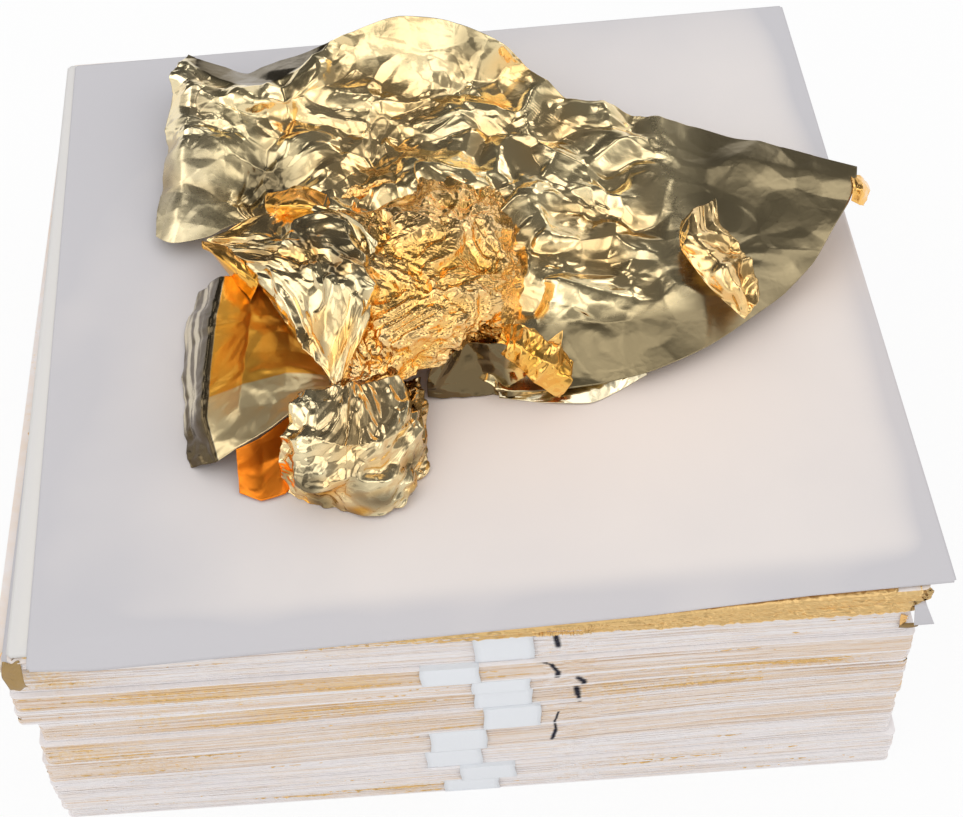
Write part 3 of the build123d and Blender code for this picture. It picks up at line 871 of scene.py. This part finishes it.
def mainAmount(a, b, number):
    # the right end has large smooth facets, the far left is a plain panel, the back has a smooth
    # hump and a smooth wedge, and the middle is crumpled finely, in patches
    right, left, front = rightFrom(a, b, 32, 38), leftPlate(a, b), frontBand(a, b)
    hump, wedge = bell(a, b, -5, 63, 15, 9), shadedWedge(a, b)
    if number == 0:
        return 1.0 - 0.65 * right - 0.6 * left - 0.75 * hump - 0.6 * wedge - 0.25 * front
    calm = np.clip(1.05 * right + 0.8 * left + hump + wedge + 0.9 * front, 0, 1)
    if number == 1:
        return 1.0 - 0.72 * calm
    return (1.0 - 0.93 * calm) * np.clip(0.75 + 0.6 * waves(a / 22, b / 22, 95), 0.25, 1.3)


def flapAmount(a, b, number):
    # the flap's left end is crumpled more finely than the rest
    return 1 + 0.5 * (a < 8.1) * (number > 0)


# Each tones function changes how warm, cool, shaded, glowing (ember) and soft one part is:
# warm and ember paint the orange light bounced in folds and hollows, and shade paints shade and
# dark reflections.
def mainTones(tones, points, a, b, u, v, push):
    front, wedge, left = frontBand(a, b), shadedWedge(a, b), leftPlate(a, b)
    # painted inter-reflection: warmer round the knot, and none on the right lobe, the front band or the back
    # wedge
    warm = tones["warm"] + 0.6 * np.exp(-(np.hypot(a + 5, b - 3) / 21) ** 2)
    warm = warm + 0.1 * waves(a / 16, b / 16, 97)
    tones["warm"] = warm * (1 - ramp(a, 30, 40)) * (1 - front) * (1 - wedge)
    tones["cool"] = 0.15 * ramp(a, 30, 44) + 0.3 * ramp(a, -40, -46)
    # painted shade in the back wedge and the pocket, and painted dark reflections on the hump's right, the
    # right lobe, the front band and the left plate
    shade = 0.92 * wedge + 0.6 * bell(a, b, 7, 60, 3.5, 5) + 0.9 * bell(a, b, -33, 32, 7.5)
    shade = np.maximum(shade + 0.72 * rightFrom(a, b, 34, 44), 0.75 * front)
    tones["shade"] = np.maximum(shade, 0.3 * left * (1 + 0.5 * waves(a / 9, b / 9, 90)))
    tones["soft"] = 0.55 * left + 0.65 * ramp(a, 34, 42) + 0.65 * front


def knotTones(tones, points, a, b, u, v, push):
    # painted deep orange of light bounced in the knot's hollow, with painted shade there
    hollow = bell(points[..., 0], points[..., 1], -12.5, 15.5, 5.5, 3.0)
    tones["ember"] = 0.05 + 0.85 * hollow
    tones["shade"] = 0.35 * hollow


def rollTones(tones, points, a, b, u, v, push):
    # painted shade and dark reflection: the roll dimmed all over and darker at its right end; warm patches
    # of painted orange reflection
    shade = 0.55 * ramp(u, 0.72, 0.84) * ramp(v, 0.3, 0.5)
    tones["shade"] = np.maximum(shade, 0.22 + 0.2 * waves(a / 7, b / 7, 93))
    tones["warm"] = tones["warm"] + 0.45 * np.clip(waves(a / 9, b / 9, 98), 0, 1)


def flapTones(tones, points, a, b, u, v, push):
    # a wall at the left painted dark in streaks, as shade and dark reflections, and darker at its
    # foot; a pale front; and an inside painted warm, as light bounced in the fold
    wall, inside = u < 0.27, v > 0.34
    tones["warm"] = np.where(wall, 0.0, np.where(inside, 1.0, 0.08)) + 0.04 * push
    tones["ember"] = np.where(wall | ~inside, 0.0, 0.02 + 0.12 * waves(a / 20, b / 20, 99))
    tones["soft"] = np.where(wall, 0.3, np.where(inside, 1.0, 0.9))
    streaks = np.clip(0.4 + 1.6 * waves(a / 2.2, b / 16, 96), 0, 1)
    paintedDark = np.maximum(0.97 * ramp(u, 0.17, 0.20), 0.95 * streaks) + ramp(v, 0.3, 0.2)
    tones["shade"] = np.where(wall, paintedDark, 0.0)
    tones["cool"] = np.where(wall, 0.9, 0.1)


def coneTones(tones, points, a, b, u, v, push):
    # painted shade and painted orange reflections, in patches, low on the cone's front
    low = ramp(v, 0.55, 0.35)
    tones["shade"] = 0.1 + low * np.clip(0.25 + 0.5 * waves(a / 6, b / 6, 92), 0, 0.75)
    tones["warm"] = tones["warm"] + low * np.clip(0.5 * waves(a / 7, b / 7, 91), 0, 0.8)


def footTones(tones, points, a, b, u, v, push):
    # the foot's left part painted dark as shade under the fold, and its right part painted warm as bounced
    # light
    paintedDark = ramp(u, 0.62, 0.52)
    tones["shade"] = 0.93 * paintedDark
    tones["warm"] = tones["warm"] + 0.5 * (1 - paintedDark)


# Each part of the leaf is a net of points on the cover, in mm: (across, back, height), in rows
# from front to back. Through the net runs a smooth surface, or a creased one where "smooth" is
# low, and the crumple, pairs of (cell, slope), pushes it along its own direction. Dents are
# (across, back, half width, half depth, fall).
# A part's "warm" and "ember" numbers paint the orange light bounced between its folds.
leafParts = {
    "leafMain": {
        "grid": (230, 430), "smooth": 0.75, "warm": 0.06, "amount": mainAmount, "tones": mainTones,
        "splits": (0, 0.27, 0.62, 1), "labels": ("West", "Middle", "East"),
        "crumple": ((18, 0.36), (8.5, 0.55), (4.2, 0.42), (1.9, 0.20)),
        "net": (
            ((-53.5, 18.5, 1), (-50, 15, 2.5), (-43.5, 14.5, 4), (-38, 17, 5), (-30, 13.5, 5),
             (-22, 9, 5), (-16, 4, 5), (-9.5, -5.5, 4), (-1.5, -18, 4), (4.5, -26.5, 1.5),
             (17, -27.5, 1.5), (30, -26, 2.5), (40.5, -22, 3), (49.5, -16.5, 3.5), (57, -11.5, 4)),
            ((-53, 26.5, 2), (-49, 22.5, 5.5), (-43, 22.5, 6), (-37, 22.5, 6.5), (-28.5, 23, 8),
             (-20.5, 20.5, 9), (-14, 19.5, 9), (-7.5, 18.5, 9), (0, 13.5, 9), (10, 2, 8), (20.5, -6, 7),
             (32, -12.5, 6), (43.5, -10.5, 6.5), (52.5, -8, 7), (62, -7, 6)),
            ((-52.5, 37.5, 3.5), (-48, 33, 8), (-42, 33.5, 8), (-36, 33, 8), (-27, 33.5, 9),
             (-19.5, 33, 8.5), (-13, 33.5, 8.5), (-7, 34.5, 8), (1.5, 31, 8), (12, 22.5, 8),
             (22.5, 13, 8), (34.5, 2, 8), (45.5, 0, 9), (55.5, 0.5, 8.5), (66, -2, 8)),
            ((-51, 47.5, 5.5), (-47, 44, 9.5), (-41.5, 44, 9), (-35.5, 41, 9), (-26, 40.5, 9.5),
             (-19.5, 42, 9.5), (-13, 42, 10), (-6.5, 43.5, 10), (2, 41.5, 10), (11.5, 35.5, 9),
             (23, 26, 8.5), (35.5, 16.5, 8.5), (47.5, 9.5, 9.5), (58.5, 8.5, 9.5), (70, 3.5, 9)),
            ((-49, 56.5, 8), (-46, 52, 10.5), (-40, 48.5, 10.5), (-34.5, 43.5, 11.5), (-25, 45.5, 12),
             (-19, 51.5, 11), (-12.5, 52.5, 11.5), (-6.5, 52.5, 12), (2, 49.5, 12), (11.5, 44.5, 10.5),
             (22.5, 33.5, 9.5), (36.5, 27.5, 9), (50, 18, 10), (60.5, 13, 10.5), (72, 7, 10.5)),
            ((-47.5, 61, 8.5), (-44.5, 59, 8.5), (-40, 58.5, 7), (-36, 59, 5), (-26.5, 60.5, 6.5),
             (-19.5, 57, 12.5), (-13, 57.5, 15), (-6, 58, 16.5), (3, 55.5, 16.5), (13, 50, 14),
             (23.5, 40, 9), (37.5, 35, 8), (52, 24.5, 9), (62.5, 17.5, 10), (73, 10.5, 11)),
        ),
    },
    "leafKnot": {
        "grid": (190, 190), "smooth": 1.0, "warm": 0.68, "size": (42, 50), "tones": knotTones,
        "dents": ((-12.5, 15.5, 5.5, 3.0, 5.0), (-16, -26, 4, 4, 2.0), (4, -6, 3, 5, 2.0)),
        "crumple": ((8, 0.30), (3.6, 0.55), (1.9, 0.70), (1.0, 0.60)),
        "net": (
            ((-22.5, -25.5, 6), (-19.5, -28, 8), (-14, -29, 9), (-8, -26, 8), (-2, -21, 7),
             (1, -16.5, 3)),
            ((-24, -12.5, 6), (-19, -18.5, 12), (-12, -21.5, 14), (-4, -21.5, 14), (3.5, -19.5, 11),
             (8.5, -14.5, 4)),
            ((-23, 0.5, 6), (-18, -7, 13), (-9.5, -10.5, 17), (-0.5, -12, 17), (7, -11, 14),
             (11.5, -4, 5)),
            ((-21, 14.5, 7), (-15, 6.5, 14), (-7.5, 1.5, 18), (1.5, 1, 17), (7.5, 2, 13), (12, 9, 6)),
            ((-17, 21, 8), (-11, 20.5, 9), (-4, 19, 10), (3, 17.5, 10), (7.5, 15.5, 9), (10.5, 19.5, 6)),
        ),
    },
    "leafRoll": {
        "grid": (130, 150), "smooth": 0.9, "warm": 0.12, "cool": 0.1, "size": (40, 36), "tones": rollTones,
        "crumple": ((9, 0.34), (4.0, 0.48), (1.8, 0.35)),
        "net": (
            ((-35.5, -0.5, 6), (-30, -12.5, 9), (-26, -21, 10), (-23.5, -27.5, 11), (-21, -30.5, 10),
             (-21, -28.5, 7)),
            ((-39, 5, 7), (-31.5, -3.5, 12), (-24, -10.5, 15), (-18.5, -16, 17), (-14.5, -16, 15),
             (-15, -12, 10)),
            ((-42.5, 10.5, 6), (-33.5, 5.5, 11), (-25, 2.5, 14), (-17.5, -5, 17), (-13.5, -9.5, 16),
             (-13.5, -4, 10)),
            ((-44.5, 13.5, 5), (-36, 14.5, 9), (-26.5, 13, 12), (-18.5, 6.5, 15), (-14, -2.5, 16),
             (-14, 1.5, 11)),
        ),
    },
    "leafFlap": {
        "grid": (110, 120), "smooth": 0.15, "warm": 0.5, "size": (30, 46),
        "amount": flapAmount, "tones": flapTones,
        "crumple": ((14, 0.14), (6, 0.16), (2.4, 0.12)),
        "net": (
            ((-47.5, -35.5, 0.4), (-42.5, -38, 4), (-36.5, -35, 5), (-30, -30.5, 6), (-22.5, -28, 8)),
            ((-48.5, -27.5, 0.4), (-44, -31.5, 7.5), (-38.5, -26.5, 4.5), (-31, -23.5, 4),
             (-23, -24.5, 5)),
            ((-48.5, -16, 0.4), (-43.5, -21.5, 8.5), (-37.5, -15, 4), (-30, -13.5, 3), (-24, -17.5, 4)),
            ((-48, -3, 0.4), (-42.5, -10.5, 9), (-36.5, -6.5, 5), (-30.5, -5.5, 4), (-28, -9, 5)),
            ((-46.5, 5, 0.4), (-41, 0, 8), (-37, 2.5, 6), (-35, 5.5, 6), (-34, 5, 7)),
        ),
    },
    "leafCone": {
        "grid": (125, 140), "smooth": 0.2, "warm": 0.2, "cool": 0.2, "size": (36, 26), "tones": coneTones,
        "crumple": ((10, 0.45), (5.0, 0.55), (2.4, 0.45), (1.2, 0.25)),
        "net": (
            ((-33, -42, 0.6), (-28.5, -46, 0.4), (-22, -48.5, 0.4), (-16, -48.5, 0.4), (-11, -45.5, 0.4),
             (-8, -41, 0.4)),
            ((-32, -40, 5), (-27.5, -44.5, 5.5), (-21.5, -47.5, 6), (-15.5, -46.5, 5.5),
             (-10, -42.5, 4.5), (-7.5, -36, 2.5)),
            ((-30.5, -36.5, 9), (-26.5, -41, 11), (-20.5, -43.5, 12), (-15, -42, 10.5), (-10, -37, 8),
             (-7, -30, 4)),
            ((-28, -30.5, 10), (-23.5, -31, 12), (-19.5, -30.5, 13), (-15.5, -29.5, 11.5),
             (-11.5, -27.5, 9), (-8, -24.5, 5)),
        ),
    },
    "leafInside": {
        "grid": (50, 50), "smooth": 0.3, "warm": 1.0, "ember": 0.75, "soft": 0.9, "size": (16, 16),
        "crumple": ((9, 0.10), (3.5, 0.06)),
        "net": (
            ((-39, -42, 0.4), (-35.5, -44, 0.4), (-31.5, -43, 0.4), (-29, -38.5, 0.4)),
            ((-39, -39, 3), (-35, -37, 1.5), (-30, -35, 1.5), (-25.5, -29, 2)),
            ((-39, -36.5, 5), (-35, -34, 4.5), (-29, -29.5, 5), (-23, -27, 6)),
        ),
    },
    "leafFoot": {
        "grid": (60, 110), "smooth": 0.3, "warm": 0.3, "size": (26, 10), "tones": footTones,
        "crumple": ((8, 0.40), (3, 0.35), (1.4, 0.2)),
        "net": (
            ((-7, -25, 0.3), (0, -25.5, 0.3), (6.5, -26, 0.3), (13.5, -26, 0.3), (17.5, -26.5, 0.6)),
            ((-7, -24.5, 4), (-1, -24, 4), (5.5, -24, 4), (11.5, -23.5, 3), (16, -23.5, 4)),
            ((-6, -23.5, 8), (0, -21.5, 9), (6, -21.5, 9), (11, -22.5, 7), (16.5, -18.5, 7)),
        ),
    },
    "leafCurl": {
        "grid": (60, 70), "smooth": 1.0, "warm": 0.9, "size": (11, 9),
        "crumple": ((5, 0.25), (2.2, 0.30)),
        "net": (
            ((-32.5, 14.5, 8), (-30.5, 13, 9), (-27, 11, 10), (-23, 10.5, 9)),
            ((-33, 15.5, 10), (-30, 12, 13), (-26, 11, 13.5), (-22.5, 11.5, 12)),
            ((-33, 19, 9), (-29.5, 19, 10), (-25.5, 19.5, 10), (-22, 19, 8)),
        ),
    },
    "leafTongue": {
        "grid": (60, 60), "smooth": 0.8, "warm": 0.9, "size": (12, 9),
        "crumple": ((6, 0.25), (2.5, 0.2)),
        "net": (
            ((-44, 9.5, 6), (-41, 3.5, 7), (-38.5, -1, 7), (-36.5, -4, 6)),
            ((-45, 10.5, 6), (-41.5, 4.5, 9), (-38, 0, 10), (-34.5, -2.5, 9)),
            ((-45, 13, 5), (-41, 9.5, 7), (-37.5, 6.5, 8), (-34, 3, 8)),
        ),
    },
    "leafTip": {
        "grid": (40, 50), "smooth": 1.0, "warm": 0.75, "size": (6, 5),
        "crumple": ((3, 0.4), (1.5, 0.4)),
        "net": (
            ((70.5, 3.5, 10), (72, 3.5, 9), (73, 4, 8)),
            ((71, 5, 12), (72.5, 4, 12), (74.5, 6.5, 9)),
            ((71.5, 9.5, 11), (73, 9, 10.5), (74.5, 9, 9)),
        ),
    },
    "leafStrip": {
        "grid": (55, 90), "smooth": 0.9, "warm": 0.85, "size": (22, 8),
        "crumple": ((5, 0.45), (2.2, 0.40), (1.1, 0.3)),
        "net": (
            ((5, -22.5, 8), (8, -25.5, 7), (11, -28, 5), (15, -28.5, 1.5)),
            ((6, -20.5, 9.5), (9.5, -24, 10), (13.5, -26.5, 8), (17.5, -28, 5)),
            ((7, -16.5, 8), (11.5, -18.5, 8), (15, -21, 7), (18, -23.5, 5)),
        ),
    },
    "leafShred": {
        "grid": (70, 90), "smooth": 0.5, "warm": 0.45, "size": (13, 24),
        "crumple": ((6, 0.5), (3, 0.5), (1.4, 0.3)),
        "net": (
            ((47.5, -20.5, 8), (49.5, -19.5, 10), (51.5, -14.5, 8)),
            ((44, -17.5, 10), (46.5, -17.5, 13), (51, -11, 9)),
            ((40.5, -11, 11), (43.5, -10, 13), (49.5, -6, 10)),
            ((38.5, -4.5, 11), (41, -4, 12.5), (47, 0, 10)),
            ((40, 3, 9), (42.5, 4, 11), (46.5, 7, 9)),
        ),
    },
    "leafHem": {
        "grid": (30, 120), "smooth": 0.6, "warm": 0.0, "cool": 0.5, "size": (26, 5),
        "crumple": ((6, 0.12), (2.5, 0.12)),
        "net": (
            ((5, -26.5, 0.3), (12.5, -28.5, 0.3), (20, -29.5, 0.3), (25, -27.5, 0.3), (30.5, -24.5, 0.5)),
            ((5, -25.5, 0.8), (13, -25.5, 1.4), (20, -25.5, 1.8), (24.5, -25, 2), (29.5, -23.5, 2)),
        ),
    },
}
leaf = {
    "wall": 0.06, "clearance": 0.15,  # thickness, and the least height over the cover
    "sink": 0.03,  # how far the split sheet's edges lie under their neighbours
    "scrap": 0.011,  # a piece depth, in m
}


def netWeights(samples, count, smooth):
    # each row has the shares of the net's points at one sample: a mix of the cubic through the
    # four nearest (smooth 1) and the straight line between the two nearest (smooth 0)
    place = np.linspace(0, count - 1, samples)
    first = np.minimum(place.astype(int), count - 2)
    way = place - first
    rows = np.arange(samples)
    line, cubic = np.zeros((2, samples, count))
    line[rows, first] += 1 - way
    line[rows, first + 1] += way
    shares = (
        -way / 2 + way ** 2 - way ** 3 / 2, 1 - 2.5 * way ** 2 + 1.5 * way ** 3,
        way / 2 + 2 * way ** 2 - 1.5 * way ** 3, (way ** 3 - way ** 2) / 2,
    )
    for step, share in zip((-1, 0, 1, 2), shares):
        np.add.at(cubic, (rows, np.clip(first + step, 0, count - 1)), share)
    return smooth * cubic + (1 - smooth) * line


# What the main sheet does besides: hollows (across, back, radius, depth), and fans of long folds
# (across, back, nearest, farthest, cells to a turn, height) that run out from a point.
mainFolds = {
    "hollows": ((-33, 27, 8, 4.5), (27, 20, 7, 2.0)),
    "fans": ((-5, -3, 17, 46, 34, 2.2), (46, -2, 5, 24, 14, 0.5)),
}


def mainHeight(a, b):
    # a hollow lowers the sheet by a bell curve; a fan's folds are facets in polar places,
    # narrow across and long away from its point
    height = np.zeros(a.shape)
    for across, back, radius, depth in mainFolds["hollows"]:
        height -= depth * bell(a, b, across, back + 5, radius)
    for number, (across, back, nearest, farthest, count, rise) in enumerate(mainFolds["fans"]):
        away = np.hypot(a - across, b - back - 4)
        angle = np.arctan2(b - back - 4, a - across) / math.tau
        reach = ramp(away, 0.6 * nearest, 1.2 * nearest) * ramp(away, farthest, 0.6 * farthest)
        cellA = angle * count + 0.3 * waves(a / 20, b / 20, 90 + number)
        height += rise * reach * facets(cellA, away / 16, 80 + number)
    return height


def crumpledSurface(part, seed):
    # the net's surface, pushed along its own direction by facets of several sizes, each as high
    # as its cell times its slope
    net = np.array(part["net"], dtype=float)
    rows, columns = part["grid"]
    down = netWeights(rows, net.shape[0], part["smooth"])
    over = netWeights(columns, net.shape[1], part["smooth"])
    base = np.einsum("ri,cj,ijk->rck", down, over, net)
    v, u = unitGrid(rows, columns)
    if "size" in part:
        a, b = u * part["size"][0], v * part["size"][1]
    else:
        a, b = base[..., 0].copy(), base[..., 1] + 0.6 * base[..., 2]
        base[..., 2] += mainHeight(a, b)
    for across, back, wide, deep, depth in part.get("dents", ()):
        base[..., 2] -= depth * bell(base[..., 0], base[..., 1], across, back, wide, deep)
    warpA = a + 1.6 * waves(a / 19, b / 19, seed + 50)
    warpB = b + 1.6 * waves(a / 19, b / 19, seed + 51)
    push = np.zeros(a.shape)
    for number, (cell, slope) in enumerate(part["crumple"]):
        amount = part["amount"](a, b, number) if "amount" in part else 1.0
        push += amount * cell * slope * facets(warpA / cell, warpB / cell, seed + number)
    direction = np.cross(np.gradient(base, axis=1), np.gradient(base, axis=0))
    direction /= np.maximum(np.linalg.norm(direction, axis=-1, keepdims=True), 1e-9)
    points = base + direction * push[..., None]
    points[..., 2] = np.maximum(points[..., 2], leaf["clearance"] + leaf["wall"])
    return points, a, b, u, v, push


def flatLength(points, axis):
    # smoothed flat, a piece would be as wide and long as its rows and columns are, in m,
    # followed over the crumple
    steps = np.linalg.norm(np.diff(points, axis=axis), axis=-1)
    return float(steps.sum(axis=axis).mean() * mm)


def makeLeafPart(name, part, seed):
    points, a, b, u, v, push = crumpledSurface(part, seed)
    tones = {tone: part.get(tone, 0.0) for tone in ("warm", "cool", "shade", "ember", "soft")}
    # painted inter-reflection: warmer where the crumple pushes in
    tones["warm"] = tones["warm"] + 0.22 * np.clip(-push / 1.2, -1, 1)
    if "tones" in part:
        part["tones"](tones, points, a, b, u, v, push)
    x, y = turned(points[..., 0], points[..., 1], cover["turn"], cover["across"], cover["back"])
    points = np.stack([x, y, points[..., 2] + cover["level"]], axis=-1)
    columns = points.shape[1]
    splits = [round(share * (columns - 1)) for share in part.get("splits", (0, 1))]
    made = []
    for number, (first, last) in enumerate(zip(splits[:-1], splits[1:])):
        # neighbours share the column where they meet, and each keeps one more, just under the other
        shown = slice(max(first - 1, 0), last + 2)
        sunk = points[:, shown].copy()
        if first > 0:
            sunk[:, 0, 2] -= leaf["sink"]
        if last < columns - 1:
            sunk[:, -1, 2] -= leaf["sink"]
        piece = gridMesh(name + part.get("labels", ("",))[number], sunk)
        setUv(piece, a[:, shown], b[:, shown])
        for tone, values in tones.items():
            spread = np.broadcast_to(values, a.shape)[:, shown]
            setAttribute(piece, tone, np.clip(spread, 0, 1))
        thicken(piece, leaf["wall"])
        material = knotGold if name == "leafKnot" else crumpledGold
        finishPiece(piece, material, "crumpled_leaf", ["crumpled_leaf"])
        made.append((piece, tuple(flatLength(points[:, shown], axis) for axis in (1, 0))))
    return made


leafPieces = []
for number, (name, part) in enumerate(leafParts.items()):
    leafPieces += makeLeafPart(name, part, 1000 + 20 * number)
print("crumpled leaf made")


# Stage, light and camera
stage = {"size": 4.0, "floorColour": (0.9, 0.9, 0.9, 1), "glow": 0.9, "lampPower": 2.0, "worldLevel": 0.88}


def makeFloor():
    points = np.array([[[-1, -1, 0], [1, -1, 0]], [[-1, 1, 0], [1, 1, 0]]]) * stage["size"] / 2 / mm
    floor = gridMesh("floor", points - shift)
    material, tree, shader = newMaterial("floorWhite", Base_Color=stage["floorColour"], Roughness=0.9)
    path = addNode(tree, "LightPath").outputs
    seen = calculate(tree, "MAXIMUM", path["Is Camera Ray"], path["Is Glossy Ray"])
    share = calculate(tree, "MULTIPLY", seen, stage["glow"])
    glow = addNode(tree, "Emission", Strength=1.0)
    mix = addNode(tree, "MixShader", share)
    tree.links.new(shader.outputs[0], mix.inputs[1])
    tree.links.new(glow.outputs[0], mix.inputs[2])
    tree.links.new(mix.outputs[0], tree.nodes["Material Output"].inputs["Surface"])
    floor.data.materials.append(material)


# The studio as the metal sees it: a white room with dark and bright cards, each given by its
# direction, the angles at which it is full and gone, in degrees, and its level.
room = 0.85
cards = (
    ((0.0, 0.68, 0.73), 24, 42, 0.14),
    ((-0.45, 0.85, 0.22), 16, 32, 0.08),
    ((0.80, 0.35, 0.48), 14, 30, 0.26),
    ((0.05, -0.66, 0.75), 9, 26, 0.30),
    ((-0.80, 0.25, 0.55), 10, 22, 2.2),
    ((0.05, 0.05, 1.0), 7, 17, 1.7),
    ((0.42, 0.80, 0.42), 4, 9, 2.4),
    ((-0.30, 0.62, 0.72), 3, 7, 2.2),
    ((0.62, -0.35, 0.70), 6, 14, 1.9),
    ((-0.55, -0.60, 0.58), 7, 18, 0.45),
    ((0.30, 0.30, 0.90), 4, 9, 0.30),
)


def makeWorld():
    world = bpy.data.worlds.new("studio")
    bpy.context.scene.world = world
    world.use_nodes = True
    tree = world.node_tree
    ray = addNode(tree, "TexCoord").outputs["Generated"]
    level = (room,) * 3 + (1,)
    for direction, full, gone, value in cards:
        length = math.sqrt(sum(part * part for part in direction))
        toCard = [part / length for part in direction]
        dot = addNode(tree, "VectorMath", ray, toCard, operation="DOT_PRODUCT").outputs["Value"]
        reach = addNode(
            tree, "MapRange", interpolation_type="SMOOTHSTEP", Value=dot,
            From_Min=math.cos(math.radians(gone)), From_Max=math.cos(math.radians(full)))
        level = mixColours(tree, reach.outputs["Result"], level, (value,) * 3 + (1,))
    path = addNode(tree, "LightPath").outputs
    plain = (stage["worldLevel"],) * 3 + (1,)
    seen = mixColours(tree, path["Is Glossy Ray"], plain, level)
    white = calculate(tree, "MAXIMUM", path["Is Camera Ray"], path["Is Transmission Ray"])
    seen = mixColours(tree, white, seen, (1, 1, 1, 1))
    tree.links.new(seen, tree.nodes["Background"].inputs["Color"])


def makeLamp(name, place, power, size):
    lamp = bpy.data.lights.new(name, "AREA")
    lamp.energy = power
    lamp.size = size
    holder = bpy.data.objects.new(name, lamp)
    bpy.context.scene.collection.objects.link(holder)
    holder.location = place
    holder.rotation_euler = (-holder.location).to_track_quat("-Z", "Y").to_euler()


# Where the photograph was taken from: the place in mm, the turns in degrees, and the focal
# length in pixels of a frame that is this many pixels wide.
camera = {
    "place": (5.23, -236.08, 293.80), "turns": (40.365, 2.218, -2.989), "focal": 1890.07, "frame": 963,
}


def makeCamera():
    data = bpy.data.cameras.new("camera")
    data.sensor_fit = "HORIZONTAL"
    data.sensor_width = 36.0
    data.lens = camera["focal"] / camera["frame"] * data.sensor_width
    data.clip_start = 0.01
    holder = bpy.data.objects.new("camera", data)
    bpy.context.scene.collection.objects.link(holder)
    holder.location = (np.array(camera["place"]) + shift) * mm
    holder.rotation_euler = [math.radians(turn) for turn in camera["turns"]]
    bpy.context.scene.camera = holder


makeFloor()
makeWorld()
makeLamp("softboxLeft", (-0.7, -0.5, 1.1), stage["lampPower"], 0.9)
makeLamp("softboxRight", (0.9, -0.2, 1.0), 0.5 * stage["lampPower"], 0.9)
makeCamera()
bpy.context.scene.view_settings.view_transform = "Standard"
